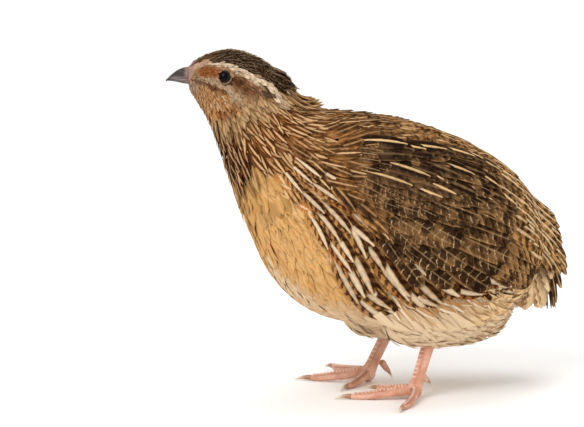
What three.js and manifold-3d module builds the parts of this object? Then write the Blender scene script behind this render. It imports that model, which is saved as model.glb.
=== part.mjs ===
// A coturnix quail standing still, life size, in millimetres.
// +Z is up, the tail points toward +Y and the bird's own left side is +X.
// The neck turns the head toward -X. The body is one lofted form parted by thin cuts.

import * as THREE from 'three';
import { mergeVertices } from 'three/addons/utils/BufferGeometryUtils.js';
import Module from 'manifold-3d';

const wasm = await Module();
wasm.setup();

// Middle of the bird's footprint box, measured from the body's own midline
const FOOTPRINT = { x: -2, y: -9.6 };

// Clearances
const GAP = 0.3;
const LAY_GAP = 0.6;
const FLOOR = 0;

// Edges shorter than this are merged after a union
const SLIVER = 0.05;

// Body outline, tail to bill. Each station is a fanned section of the bird:
// its upper point and its lower point as [y, z], and its half width.
const BODY_STATIONS = [
  { place: 'tail root', upper: [61, 55], lower: [61, 49], half: 3 },
  { place: 'rump end', upper: [58, 67.5], lower: [56, 39], half: 11.5 },
  { place: 'rump', upper: [46.5, 82], lower: [46, 30], half: 24 },
  { place: 'hips', upper: [30, 93], lower: [28, 25.5], half: 32.5 },
  { place: 'back', upper: [8, 102.7], lower: [2, 24.5], half: 37.5 },
  { place: 'shoulders', upper: [-11, 106.8], lower: [-29, 31], half: 37.5 },
  { place: 'mantle', upper: [-23, 109], lower: [-46, 42.5], half: 34.5 },
  { place: 'breast', upper: [-32, 111.7], lower: [-57, 61], half: 28.5 },
  { place: 'neck root', upper: [-38.5, 115.3], lower: [-67, 84], half: 20.5 },
  { place: 'neck', upper: [-43, 119.8], lower: [-74.5, 106], half: 13 },
  { place: 'nape', upper: [-48, 126.2], lower: [-79.5, 115.5], half: 11 },
  { place: 'crown', upper: [-57, 132.8], lower: [-82, 119.3], half: 11 },
  { place: 'brow', upper: [-67, 136], lower: [-83.3, 121.3], half: 9.2 },
  { place: 'forehead', upper: [-77, 134], lower: [-84, 122.3], half: 5.9 },
  { place: 'bill base', upper: [-84.5, 129.7], lower: [-84.5, 122.9], half: 3.3 },
];
const LAST_STATION = BODY_STATIONS.length - 1;
const STEPS_PER_STATION = 3;
const BODY_SIDES = 32;

// The head is turned about an upright line through the neck
const NECK_AXIS_Y = -48;
const HEAD_TURN = THREE.MathUtils.degToRad(25);
const TURN_START = 6.5;
const TURN_END = 10;

// Where the body is parted, as stations
const TAIL_CUT = 1.5;
const NECK_CUT = 8;
const HEAD_CUT = 10.15;

// Eyes and lids
const EYE_STATION = 11.25;
const EYE_ANGLE = 86;
const EYE_RADIUS = 3.3;
const EYE_SINK = 2.45;
const EYE_SEGMENTS = 14;
const LID_RING_RADIUS = 2.85;
const LID_THICKNESS = 0.62;
const LID_SEGMENTS = 14;

// Bill, in the head's own straight frame before the turn
const BILL_BASE_Y = -84.5;
const BILL_TIP_Y = -92.4;
const CULMEN_BASE_Z = 129.5;
const CULMEN_TIP_Z = 124.4;
const GAPE_BASE_Z = 125.7;
const GAPE_TIP_Z = 124.3;
const CHIN_BASE_Z = 122.9;
const BILL_HALF_WIDTH = 3.2;
const LOWER_BILL_LENGTH = 6.8;
const BILL_TIP_RADIUS = 0.28;
const BILL_HOOK = 0.4;
const CULMEN_BEND = 1.45;
const NOSTRIL = { y: -86.9, z: 127, half: [0.75, 1.05, 0.42] };
const GAPE_GROOVE = { back: -79.4, z: 123.6, depth: 0.9, height: 0.34 };

// Wings lie on the body between these edges, given as stations and angles from the back
const WING_EDGES = [
  { station: 6.75, upper: 52, lower: 58 },
  { station: 6.2, upper: 38, lower: 74 },
  { station: 5.5, upper: 31, lower: 88 },
  { station: 4.5, upper: 27, lower: 101 },
  { station: 3.5, upper: 27, lower: 110 },
  { station: 2.5, upper: 33, lower: 114 },
  { station: 1.7, upper: 47, lower: 110 },
  { station: 1.25, upper: 66, lower: 98 },
];
const WING_THICKNESS = 2.3;
const WING_RIM = 0.6;
const WING_ROWS = 15;
const WING_COLUMNS = 8;
const WING_SEARCH = 40;

// Feather tiers of a wing. Roots run in a row from first to last as [station, angle],
// reach is how far a feather runs from its root, in stations and degrees, half its half
// width, lift its height over its bed at root and tip, and tilt how far each vane leans
// over the next one in its row.
const WING_TIERS = [
  { name: 'primaries', count: 4, first: [3.0, 85], last: [3.25, 104], reach: [-1.62, 2.5],
    half: 3.2, lift: [-0.4, 1.3], tilt: 0.6 },
  { name: 'secondaries', count: 6, first: [3.75, 46], last: [4.05, 96], reach: [-1.5, 6],
    half: 4.3, lift: [-0.4, 1.9], tilt: 0.65 },
  { name: 'greater coverts', count: 6, first: [4.8, 46], last: [4.95, 91], reach: [-1.2, 5],
    half: 3.8, lift: [-0.4, 1.9], tilt: 0.62 },
  { name: 'median coverts', count: 5, first: [5.75, 51], last: [5.6, 81], reach: [-1.05, 4],
    half: 3.2, lift: [-0.4, 1.8], tilt: 0.6 },
  { name: 'scapulars', count: 5, first: [5.95, 42], last: [4.3, 35], reach: [-1.3, 7],
    half: 2.9, lift: [0.3, 2.8], tilt: 0.3 },
];

// Long pointed plumes of each flank, rooted in the breast side and below the wing
const FLANK_TIERS = [
  { name: 'lower plumes', count: 5, first: [6.2, 114], last: [3.5, 126], reach: [-1.15, 18],
    half: 2.8, lift: [-0.9, 1.3], tilt: 0.2 },
  { name: 'upper plumes', count: 7, first: [6.7, 94], last: [3.5, 118], reach: [-1.3, 13],
    half: 2.8, lift: [-0.9, 2.4], tilt: 0.3 },
];

// Rump, and the tail behind it
const RUMP_TIERS = [
  { name: 'rump', count: 4, first: [3.3, -14], last: [3.3, 14], reach: [-1.2, 0],
    half: 4.2, lift: [-0.8, 2.1], tilt: 0.65 },
  { name: 'lower rump', count: 4, first: [2.5, -24], last: [2.5, 24], reach: [-0.82, 0],
    half: 4, lift: [-0.8, 2.4], tilt: 0.65 },
];
const RECTRICES = 9;
const RECTRIX = {
  root: [8, 57, 54], bend: [11, 64.3, 50], tip: [14.5, 64.6, 26.8], half: 3, rise: 4.5, layer: 0.9,
};
const TAIL_COVERTS = [
  { name: 'upper coverts', count: 6, station: 1.3, spread: 42, tip: [14.5, 67, 63.5],
    drop: 7, half: 3.2, tilt: 0.75 },
  { name: 'long coverts', count: 5, station: 0.85, spread: 44, tip: [11.5, 68.4, 52],
    drop: 5, half: 3.2, tilt: 0.75 },
];
const COVERT_SINK = 1;
const COVERT_BEND = 0.45;
const COVERT_RISE = 3.4;
const UNDERTAIL = [
  { name: 'undertail', count: 5, station: 1.1, from: 138, to: 222, tip: [11, 60, 28], half: 4.4,
    tilt: 0.6 },
  { name: 'vent', count: 3, station: 1.25, from: 155, to: 205, tip: [8, 54.5, 27.4], half: 4.4,
    tilt: 0.6 },
];

// Thighs, feathered down to the shanks
const THIGHS = [
  { side: 'left', x: 17.5, bottom: 19.4 },
  { side: 'right', x: -17.5, bottom: 17 },
];
const THIGH = { front: -15, back: 39, top: 45, half: 10.2, power: 2.5 };
const THIGH_RINGS = 9;
const THIGH_SIDES = 14;
const THIGH_LOCK = {
  count: 4, half: 2.6, root: { x: 6, y: 18, z: 5 }, bend: { x: 7, y: 26, z: -0.4 },
  tip: { x: 8, y: 35, z: 1.2 }, stagger: 1.6, fan: 5,
};

// Legs and feet. joint is the foot's joint, top is the shank's axis inside the thigh. Each
// front toe runs by reach along the floor with its tip raised; the hind toe runs from the
// back of the shank by reach in three directions.
const LEGS = [
  { side: 'left', mirror: 1, joint: [20.3, -1.4], top: [18, 8.6, 29],
    toes: {
      middle: { pads: 4, reach: [-10, -23], raise: 0 },
      outer: { pads: 4, reach: [20.2, -14.9], raise: 0 },
      inner: { pads: 3, reach: [-17, -8], raise: 1 },
      hallux: { pads: 1, root: [18.6, 2.6, 8.4], reach: [-1.6, 3, -2.4] },
    } },
  { side: 'right', mirror: -1, joint: [-20.3, -2], top: [-17.6, 10.6, 29],
    toes: {
      middle: { pads: 4, reach: [-11.6, -19.7], raise: 0 },
      outer: { pads: 4, reach: [-23.4, -4], raise: 1.2 },
      inner: { pads: 3, reach: [12, -14.8], raise: 0 },
      hallux: { pads: 1, root: [-19.7, 3.6, 7.4], reach: [-2.2, 3.8, -4.4] },
    } },
];
const JOINT_HEIGHT = 3.5;
const SHANK_RADIUS = { top: 2.75, middle: 2.3, joint: 2.8 };
const KNUCKLE = { radius: 3.2, drop: 3.85 };
const SHANK_SCUTES = 7;
const KNOB_SHARE = 0.2;
const SHANK_SIDES = 8;
const SCUTE_RISE = 0.16;
const TOE_RADIUS = { base: 2.05, tip: 1.3 };
const TOE_ROOT_LIFT = 1.95;
const TOE_SETTLE = 0.8;
const TOE_BEND = 0.06;
const HALLUX_SIZE = 0.72;
const TOE_SIDES = 8;
const CREASE = { rise: 0.11, narrow: 0.88 };
const RINGS_PER_PAD = 2;
const CLAW = { length: 5.2, radius: 0.95, tip: 0.12, sides: 6, rings: 5 };

// Colours
const COLOURS = {
  breast: 0xc89a62,
  head: 0x8d6a48,
  wing: 0x6d5335,
  tail: 0x8a6a45,
  thigh: 0xd6c2a0,
  leg: 0xcf9a86,
  claw: 0xc9b3a6,
  bill: 0x3f3735,
  eye: 0x120c0a,
};

const { degToRad, lerp, clamp, smoothstep } = THREE.MathUtils;

// Curve helpers

function catmullRom(rows, t) {
  const last = rows.length - 1;
  const i = clamp(Math.floor(t), 0, last - 1);
  const f = t - i;
  return rows[i].map((p1, k) => {
    const p2 = rows[i + 1][k];
    const p0 = i > 0 ? rows[i - 1][k] : 2 * p1 - p2;
    const p3 = i + 2 <= last ? rows[i + 2][k] : 2 * p2 - p1;
    const linear = (p2 - p0) * f;
    const square = (2 * p0 - 5 * p1 + 4 * p2 - p3) * f * f;
    const cube = (3 * p1 - p0 - 3 * p2 + p3) * f * f * f;
    return (2 * p1 + linear + square + cube) / 2;
  });
}

function bezier(points, t) {
  const [a, b, c] = points;
  return a.clone().multiplyScalar((1 - t) ** 2)
    .addScaledVector(b, 2 * t * (1 - t))
    .addScaledVector(c, t * t);
}

// Points on the body

const STATION_ROWS = BODY_STATIONS.map(({ upper, lower, half }) => [...upper, ...lower, half]);

function turnHead(x, y, z, turn = HEAD_TURN) {
  const ahead = NECK_AXIS_Y - y;
  return new THREE.Vector3(
    x * Math.cos(turn) - ahead * Math.sin(turn),
    NECK_AXIS_Y - ahead * Math.cos(turn) - x * Math.sin(turn),
    z,
  );
}

// angle runs from the back (0) over the left side (90) to the belly (180)
function bodyPoint(station, angle, grow = 0) {
  const [upperY, upperZ, lowerY, lowerZ, half] = catmullRom(STATION_ROWS, station);
  const halfY = (upperY - lowerY) / 2;
  const halfZ = (upperZ - lowerZ) / 2;
  const stretch = 1 + grow / Math.hypot(halfY, halfZ);
  const cos = Math.cos(degToRad(angle)) * stretch;
  const x = (half + grow) * Math.sin(degToRad(angle));
  const y = (upperY + lowerY) / 2 + halfY * cos;
  const z = (upperZ + lowerZ) / 2 + halfZ * cos;
  return turnHead(x, y, z, HEAD_TURN * smoothstep(station, TURN_START, TURN_END));
}

function bodyNormal(station, angle) {
  const step = 0.02;
  const along = bodyPoint(station + step, angle).sub(bodyPoint(station - step, angle));
  const around = bodyPoint(station, angle + 1).sub(bodyPoint(station, angle - 1));
  return along.cross(around).normalize();
}

// Closed meshes

function volumeOf(points, faces) {
  return faces.reduce((sum, [a, b, c]) => {
    return sum + points[a].dot(points[b].clone().cross(points[c])) / 6;
  }, 0);
}

function solidFrom(points, faces) {
  const outward = volumeOf(points, faces) > 0;
  const turned = outward ? faces : faces.map(([a, b, c]) => [a, c, b]);
  return new wasm.Manifold(new wasm.Mesh({
    numProp: 3,
    vertProperties: new Float32Array(points.flatMap((p) => p.toArray())),
    triVerts: new Uint32Array(turned.flat()),
  }));
}

function solidFromGeometry(geometry) {
  const bare = geometry.clone();
  bare.deleteAttribute('normal');
  bare.deleteAttribute('uv');
  const merged = mergeVertices(bare, 1e-4);
  return new wasm.Manifold(new wasm.Mesh({
    numProp: 3,
    vertProperties: new Float32Array(merged.attributes.position.array),
    triVerts: new Uint32Array(merged.index.array),
  }));
}

// A closed form through rings of equal count, capped by a fan at each end
function loft(rings) {
  const sides = rings[0].length;
  const points = rings.flat();
  const faces = [];
  for (let i = 0; i + 1 < rings.length; i += 1) {
    for (let j = 0; j < sides; j += 1) {
      const a = i * sides + j;
      const b = i * sides + (j + 1) % sides;
      faces.push([a, b, b + sides], [a, b + sides, a + sides]);
    }
  }
  for (const end of [0, rings.length - 1]) {
    const first = end * sides;
    const centre = points.length;
    points.push(rings[end].reduce((sum, p) => sum.add(p), new THREE.Vector3()).divideScalar(sides));
    for (let j = 0; j < sides; j += 1) {
      const a = first + j;
      const b = first + (j + 1) % sides;
      faces.push(end === 0 ? [centre, b, a] : [centre, a, b]);
    }
  }
  return solidFrom(points, faces);
}

// A thin closed plate between two grids of points, split into triangles alike on both
function plate(upper, lower) {
  const rows = upper.length;
  const columns = upper[0].length;
  const count = rows * columns;
  const points = [...upper.flat(), ...lower.flat()];
  const faces = [];
  const rim = [];
  for (let i = 0; i + 1 < rows; i += 1) {
    for (let j = 0; j + 1 < columns; j += 1) {
      const a = i * columns + j;
      const b = a + 1;
      const c = b + columns;
      const d = a + columns;
      faces.push([a, b, c], [a, c, d]);
      faces.push([a + count, c + count, b + count], [a + count, d + count, c + count]);
    }
  }
  for (let j = 0; j + 1 < columns; j += 1) rim.push([j + 1, j]);
  for (let i = 0; i + 1 < rows; i += 1) rim.push([i * columns, (i + 1) * columns]);
  for (let j = 0; j + 1 < columns; j += 1) rim.push([count - columns + j, count - columns + j + 1]);
  for (let i = rows - 1; i > 0; i -= 1) rim.push([(i + 1) * columns - 1, i * columns - 1]);
  for (const [a, b] of rim) faces.push([a, b, b + count], [a, b + count, a + count]);
  return solidFrom(points, faces);
}

function largest(solid) {
  const pieces = solid.decompose();
  return pieces.reduce((best, piece) => (piece.volume() > best.volume() ? piece : best))
    .simplify(SLIVER);
}

function fuse(core, pieces) {
  return largest(wasm.Manifold.union([core, ...pieces]));
}

function slab(point, normal, thickness) {
  const reach = 200;
  const box = new THREE.BoxGeometry(reach, reach, thickness);
  const turn = new THREE.Quaternion().setFromUnitVectors(new THREE.Vector3(0, 0, 1), normal);
  box.applyQuaternion(turn).translate(point.x, point.y, point.z);
  return solidFromGeometry(box);
}

// Feathers

// Width of a feather along its length, from root to tip, as shares of its half width
const VANE_OUTLINE = [[0, 0.5], [0.4, 1], [0.8, 0.82], [1, 0.16]];
const PLUME_OUTLINE = [[0, 0.5], [0.35, 1], [0.75, 0.7], [1, 0.1]];
const VANE_THICKNESS = 0.6;
const LIFT_POWER = 0.6;

// A feather along centre points, facing its normals and leaning sideways by tilt
function vane(centreAt, normalAt, half, { outline = VANE_OUTLINE, tilt = 0 } = {}) {
  const upper = [];
  const lower = [];
  for (const [s, share] of outline) {
    const centre = centreAt(s);
    const ahead = centreAt(Math.min(s + 0.05, 1)).sub(centreAt(Math.max(s - 0.05, 0)));
    const side = new THREE.Vector3().crossVectors(ahead, normalAt(s)).normalize();
    const up = new THREE.Vector3().crossVectors(side, ahead).normalize();
    const offset = (edge, rise) => centre.clone()
      .addScaledVector(side, edge * share * half)
      .addScaledVector(up, rise + edge * share * tilt);
    upper.push([-1, 1].map((edge) => offset(edge, VANE_THICKNESS / 2)));
    lower.push([-1, 1].map((edge) => offset(edge, -VANE_THICKNESS / 2)));
  }
  return plate(upper, lower);
}

// Feathers in a row, lying along the body's surface. bed is the height that they lift from.
function tier(row, bed, mirror = 1, outline = VANE_OUTLINE) {
  const { count, first, last, reach, half, lift, tilt } = row;
  return Array.from({ length: count }, (_, i) => {
    const share = i / (count - 1);
    const root = [lerp(first[0], last[0], share), lerp(first[1], last[1], share)];
    const place = (s) => [root[0] + reach[0] * s, (root[1] + reach[1] * s) * mirror];
    const centreAt = (s) => {
      const [station, angle] = place(s);
      const rise = lerp(lift[0], lift[1], s ** LIFT_POWER);
      return bodyPoint(station, angle, bed(station, angle * mirror) + rise);
    };
    const lean = tilt * mirror;
    return vane(centreAt, (s) => bodyNormal(...place(s)), half, { outline, tilt: lean });
  });
}

function hangingVane(points, facing, half, options) {
  return vane((s) => bezier(points, s), () => facing, half, options);
}

// Whole body, then its parts

function bodySolid(from, to, grow = 0) {
  const steps = Math.round((to - from) * STEPS_PER_STATION);
  const rings = Array.from({ length: steps + 1 }, (_, i) => {
    const station = lerp(from, to, i / steps);
    return Array.from({ length: BODY_SIDES }, (_, j) => {
      return bodyPoint(station, (360 * j) / BODY_SIDES, grow);
    });
  });
  return loft(rings);
}

function sectionSlab(station) {
  const upper = bodyPoint(station, 0);
  const lower = bodyPoint(station, 180);
  const side = bodyPoint(station, 90);
  const centre = upper.clone().add(lower).divideScalar(2);
  const normal = upper.clone().sub(lower).cross(side.sub(centre)).normalize();
  return slab(centre, normal, GAP);
}

function bodyParts() {
  const cuts = [TAIL_CUT, NECK_CUT, HEAD_CUT].map(sectionSlab);
  const parts = bodySolid(0, LAST_STATION).subtract(wasm.Manifold.union(cuts)).decompose();
  const middleY = (solid) => (solid.boundingBox().min[1] + solid.boundingBox().max[1]) / 2;
  return parts.sort((a, b) => middleY(b) - middleY(a));
}

// Wings

const WING_EDGE_ROWS = WING_EDGES.map(({ station, upper, lower }) => [station, upper, lower]);

function wingRow(share) {
  return catmullRom(WING_EDGE_ROWS, share * (WING_EDGES.length - 1));
}

// Height of the folded wing over the body, thickest in its middle
function wingHeight(station, angle) {
  for (let i = 0; i < WING_SEARCH; i += 1) {
    const along = i / WING_SEARCH;
    const [here, upper, lower] = wingRow(along);
    const [next] = wingRow((i + 1) / WING_SEARCH);
    if (station <= here && station > next) {
      const across = clamp((angle - upper) / (lower - upper), 0, 1);
      const swell = (Math.sin(Math.PI * across) * Math.sin(Math.PI * along ** 0.8)) ** 0.5;
      return LAY_GAP + WING_RIM + (WING_THICKNESS - WING_RIM) * swell;
    }
  }
  return LAY_GAP + WING_RIM;
}

function wingShell(mirror) {
  const grid = (growAt) => Array.from({ length: WING_ROWS }, (_, i) => {
    const [station, upper, lower] = wingRow(clamp(i / (WING_ROWS - 1), 0.001, 0.999));
    return Array.from({ length: WING_COLUMNS }, (_, j) => {
      const angle = lerp(upper, lower, j / (WING_COLUMNS - 1));
      return bodyPoint(station, angle * mirror, growAt(station, angle));
    });
  });
  return plate(grid(wingHeight), grid(() => LAY_GAP));
}

function wing(mirror) {
  const feathers = WING_TIERS.flatMap((row) => tier(row, wingHeight, mirror));
  return fuse(wingShell(mirror), feathers);
}

// Torso, neck and head

function torso(core) {
  const plumes = LEGS.flatMap(({ mirror }, index) => {
    const taken = thighForm(THIGHS[index], GAP);
    const rows = FLANK_TIERS.flatMap((row) => tier(row, () => 0, mirror, PLUME_OUTLINE));
    return rows.map((plume) => largest(plume.subtract(taken)));
  });
  const rump = RUMP_TIERS.flatMap((row) => tier(row, () => 0));
  return fuse(core, [...plumes, ...rump]);
}

function eyePlace(mirror) {
  const normal = bodyNormal(EYE_STATION, EYE_ANGLE * mirror);
  const surface = bodyPoint(EYE_STATION, EYE_ANGLE * mirror);
  return { normal, surface, centre: surface.clone().addScaledVector(normal, -EYE_SINK) };
}

function ball(centre, radius) {
  const geometry = new THREE.SphereGeometry(radius, EYE_SEGMENTS, Math.round(EYE_SEGMENTS * 0.6));
  return solidFromGeometry(geometry.translate(centre.x, centre.y, centre.z));
}

function lidRing(mirror) {
  const { normal, surface } = eyePlace(mirror);
  const ring = new THREE.TorusGeometry(LID_RING_RADIUS, LID_THICKNESS, 6, LID_SEGMENTS);
  const turn = new THREE.Quaternion().setFromUnitVectors(new THREE.Vector3(0, 0, 1), normal);
  ring.applyQuaternion(turn).translate(surface.x, surface.y, surface.z);
  return solidFromGeometry(ring);
}

// A long thin wedge in the head's straight frame, turned with it
function gapeGroove(mirror) {
  const { back, z, depth, height } = GAPE_GROOVE;
  const rings = [0, 0.5, 1].map((share) => {
    const y = lerp(BILL_BASE_Y - 1, back, share);
    const middle = lerp(GAPE_BASE_Z, z, share);
    const station = lerp(LAST_STATION, LAST_STATION - 0.62, share);
    const [, , , , half] = catmullRom(STATION_ROWS, station);
    const inner = (half - depth * (1 - share * 0.6)) * mirror;
    const outer = (half + 3) * mirror;
    const rise = height * (1 - share * 0.5);
    const corners = [[inner, 0], [outer, -rise], [outer, rise]];
    return corners.map(([x, dz]) => turnHead(x, y, middle + dz));
  });
  return loft(rings);
}

function head(core) {
  const sockets = [1, -1].map((mirror) => ball(eyePlace(mirror).centre, EYE_RADIUS + GAP));
  const lids = [1, -1].map(lidRing);
  const grooves = [1, -1].map(gapeGroove);
  return largest(fuse(core, lids).subtract(wasm.Manifold.union([...sockets, ...grooves])));
}

// Bill

const gapeLine = (share) => lerp(GAPE_BASE_Z, GAPE_TIP_Z, share ** 1.4);

function upperBill() {
  const length = BILL_BASE_Y - GAP - BILL_TIP_Y;
  const rings = Array.from({ length: 8 }, (_, i) => {
    const share = (i / 7) ** 0.85;
    const y = BILL_BASE_Y - GAP - length * share;
    const culmen = lerp(CULMEN_BASE_Z, CULMEN_TIP_Z, share ** CULMEN_BEND);
    const hook = BILL_HOOK * smoothstep(share, 0.85, 1);
    const tomium = gapeLine(share) + GAP / 2 - hook;
    const half = BILL_HALF_WIDTH * (1 - share) ** 0.7 + BILL_TIP_RADIUS;
    return billRing(y, tomium, Math.max(culmen, tomium + 2 * BILL_TIP_RADIUS), half);
  });
  const nostrils = [1, -1].map((mirror) => {
    const pit = new THREE.SphereGeometry(1, 10, 6).scale(...NOSTRIL.half);
    const place = turnHead(nostrilHalfWidth() * mirror, NOSTRIL.y, NOSTRIL.z);
    return solidFromGeometry(pit.rotateZ(-HEAD_TURN).translate(...place));
  });
  return largest(loft(rings).subtract(wasm.Manifold.union(nostrils)));
}

function nostrilHalfWidth() {
  const share = (BILL_BASE_Y - NOSTRIL.y) / (BILL_BASE_Y - BILL_TIP_Y);
  return BILL_HALF_WIDTH * (1 - share) ** 0.7;
}

// A half round section: flat along the gape, arched toward crest
function billRing(y, flat, crest, half) {
  const arch = 8;
  return Array.from({ length: arch + 1 }, (_, j) => {
    const phi = (Math.PI * j) / arch;
    return turnHead(half * Math.cos(phi), y, lerp(flat, crest, Math.sin(phi) ** 0.9));
  });
}

function lowerBill() {
  const rings = Array.from({ length: 7 }, (_, i) => {
    const share = i / 6;
    const y = BILL_BASE_Y - GAP - LOWER_BILL_LENGTH * share;
    const flat = gapeLine(share * 0.92) - GAP / 2;
    const keel = lerp(CHIN_BASE_Z, flat - BILL_TIP_RADIUS, share ** 1.5);
    const half = (BILL_HALF_WIDTH - GAP) * (1 - share) ** 0.65 + BILL_TIP_RADIUS;
    return billRing(y, flat, keel, half);
  });
  return loft(rings);
}

// Tail

function tail(core) {
  const middle = (RECTRICES - 1) / 2;
  const rectrices = Array.from({ length: RECTRICES }, (_, i) => {
    const share = (i - middle) / middle;
    const depth = RECTRIX.layer * Math.abs(i - middle);
    const { root, bend, tip } = RECTRIX;
    const points = [
      new THREE.Vector3(root[0] * share, root[1] - depth / 2, root[2]),
      new THREE.Vector3(bend[0] * share, bend[1] - depth, bend[2]),
      new THREE.Vector3(tip[0] * share, tip[1] - depth, tip[2] + RECTRIX.rise * share * share),
    ];
    const facing = new THREE.Vector3(0.5 * share, 1, 0.25).normalize();
    return hangingVane(points, facing, RECTRIX.half);
  });
  const coverts = [...TAIL_COVERTS.flatMap(tailCoverts), ...UNDERTAIL.flatMap(undertail)];
  return fuse(core, [...rectrices, ...coverts]);
}

function tailCoverts({ count, station, spread, tip, drop, half, tilt }) {
  return Array.from({ length: count }, (_, i) => {
    const share = (2 * i) / (count - 1) - 1;
    const angle = spread * share;
    const points = [
      bodyPoint(station, angle, -COVERT_SINK),
      bodyPoint(station * COVERT_BEND, angle, COVERT_RISE),
      new THREE.Vector3(tip[0] * share, tip[1] - 3 * share * share, tip[2] - drop * share * share),
    ];
    const facing = new THREE.Vector3(0.6 * share, 0.8, 0.6).normalize();
    return hangingVane(points, facing, half, { outline: PLUME_OUTLINE, tilt });
  });
}

function undertail({ count, station, from, to, tip, half, tilt }) {
  return Array.from({ length: count }, (_, i) => {
    const angle = lerp(from, to, i / (count - 1));
    const share = Math.sin(degToRad(angle));
    const aside = Math.abs(share);
    const points = [
      bodyPoint(station, angle, -2),
      bodyPoint(station, angle, 4).add(new THREE.Vector3(0, 2, 0)),
      new THREE.Vector3(tip[0] * share, tip[1] - 4 * aside, tip[2] + 3 * aside),
    ];
    const facing = new THREE.Vector3(share * 0.7, 0.4, -0.6).normalize();
    return hangingVane(points, facing, half, { tilt });
  });
}

// Legs

function thighForm({ x, bottom }, grow = 0) {
  const rings = Array.from({ length: THIGH_RINGS }, (_, i) => {
    const share = (2 * (i + 0.25)) / (THIGH_RINGS - 0.5) - 1;
    const swell = (1 - Math.abs(share) ** THIGH.power) ** (1 / THIGH.power);
    const y = lerp(THIGH.front - grow, THIGH.back + grow, (share + 1) / 2);
    const middle = (THIGH.top + bottom) / 2;
    const height = ((THIGH.top - bottom) / 2) * swell + grow;
    return Array.from({ length: THIGH_SIDES }, (_, j) => {
      const phi = (2 * Math.PI * j) / THIGH_SIDES;
      const across = (THIGH.half * swell + grow) * Math.cos(phi);
      return new THREE.Vector3(x + across, y, middle + height * Math.sin(phi));
    });
  });
  return loft(rings);
}

function thigh({ x, bottom }) {
  const { count, half, root, bend, tip, stagger, fan } = THIGH_LOCK;
  const locks = Array.from({ length: count }, (_, i) => {
    const aside = (2 * i) / (count - 1) - 1;
    const points = [root, bend, tip].map((place) => {
      return new THREE.Vector3(x + place.x * aside, place.y - fan * aside * aside, bottom + place.z);
    });
    points[2].z += stagger * (i % 2);
    const facing = new THREE.Vector3(0.2 * aside, -0.35, -1).normalize();
    return hangingVane(points, facing, half, { outline: PLUME_OUTLINE });
  });
  return fuse(thighForm({ x, bottom }), locks);
}

// The shank's axis from the foot joint up into the thigh
function shankAxis({ joint, top }, height) {
  const share = (height - JOINT_HEIGHT) / (top[2] - JOINT_HEIGHT);
  return new THREE.Vector3(lerp(joint[0], top[0], share), lerp(joint[1], top[1], share), height);
}

function shank(leg, grow = 0, plain = false) {
  const rings = [];
  const steps = SHANK_SCUTES * 2;
  for (let i = 0; i <= steps; i += 1) {
    const share = i / steps;
    const height = lerp(JOINT_HEIGHT - grow, leg.top[2] + grow, share);
    const axis = shankAxis(leg, height);
    const knob = (SHANK_RADIUS.joint - SHANK_RADIUS.middle) * Math.max(0, 1 - share / KNOB_SHARE);
    const swell = (SHANK_RADIUS.top - SHANK_RADIUS.middle) * share ** 2;
    const radius = SHANK_RADIUS.middle + knob + swell + grow;
    rings.push(Array.from({ length: SHANK_SIDES }, (_, j) => {
      const phi = (2 * Math.PI * j) / SHANK_SIDES;
      const front = Math.max(0, -Math.cos(phi));
      const scute = !plain && i % 2 === 1 ? SCUTE_RISE * front : 0;
      const x = axis.x + (radius + scute) * 0.9 * Math.sin(phi);
      const y = axis.y + (radius + scute) * 1.12 * Math.cos(phi);
      return new THREE.Vector3(x, y, height);
    }));
  }
  const [x, y] = leg.joint;
  const knuckle = new THREE.SphereGeometry(1, 12, 8)
    .scale(KNUCKLE.radius + grow, KNUCKLE.radius + grow, KNUCKLE.drop + grow);
  return loft(rings).add(solidFromGeometry(knuckle.translate(x, y, JOINT_HEIGHT)));
}

const underFloor = () => {
  const box = new THREE.BoxGeometry(400, 400, 40).translate(0, 0, FLOOR - 20);
  return solidFromGeometry(box);
};

// The middle line of a toe. A front toe rises to the foot's joint at its root.
function toeAxis(leg, name, share) {
  const { root, reach, raise } = leg.toes[name];
  if (name === 'hallux') {
    return new THREE.Vector3(...root).addScaledVector(new THREE.Vector3(...reach), share);
  }
  const [dx, dy] = reach;
  const bend = TOE_BEND * Math.sin(Math.PI * share);
  const lift = TOE_ROOT_LIFT * Math.max(0, 1 - share / TOE_SETTLE);
  return new THREE.Vector3(
    leg.joint[0] + dx * share - dy * bend,
    leg.joint[1] + dy * share + dx * bend,
    toeRadius(name, share) * Math.cos(Math.PI / TOE_SIDES) + lift + raise * share,
  );
}

function toeRadius(name, share) {
  return lerp(TOE_RADIUS.base, TOE_RADIUS.tip, share) * (name === 'hallux' ? HALLUX_SIZE : 1);
}

// Directions ahead, to the side and up at a toe's place. A front toe's rings stand upright.
function toeFrame(leg, name) {
  const [dx, dy, dz = 0] = leg.toes[name].reach;
  const ahead = new THREE.Vector3(dx, dy, dz).normalize();
  const side = new THREE.Vector3(-dy, dx, 0).normalize();
  return { ahead, side, up: ahead.clone().cross(side) };
}

function toe(leg, name, grow = 0) {
  const { pads } = leg.toes[name];
  const { side, up } = toeFrame(leg, name);
  const steps = pads * RINGS_PER_PAD;
  const rings = Array.from({ length: steps + 1 }, (_, i) => {
    const share = i / steps;
    const crease = i % RINGS_PER_PAD === 0 && i > 0 && i < steps;
    const radius = toeRadius(name, share) * (crease ? CREASE.narrow : 1) + grow;
    const centre = toeAxis(leg, name, share).addScaledVector(up, crease ? CREASE.rise : 0);
    return Array.from({ length: TOE_SIDES }, (_, j) => {
      const phi = (2 * Math.PI * (j + 0.5)) / TOE_SIDES;
      return centre.clone()
        .addScaledVector(side, radius * Math.cos(phi))
        .addScaledVector(up, radius * Math.sin(phi));
    });
  });
  return loft(rings);
}

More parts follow.
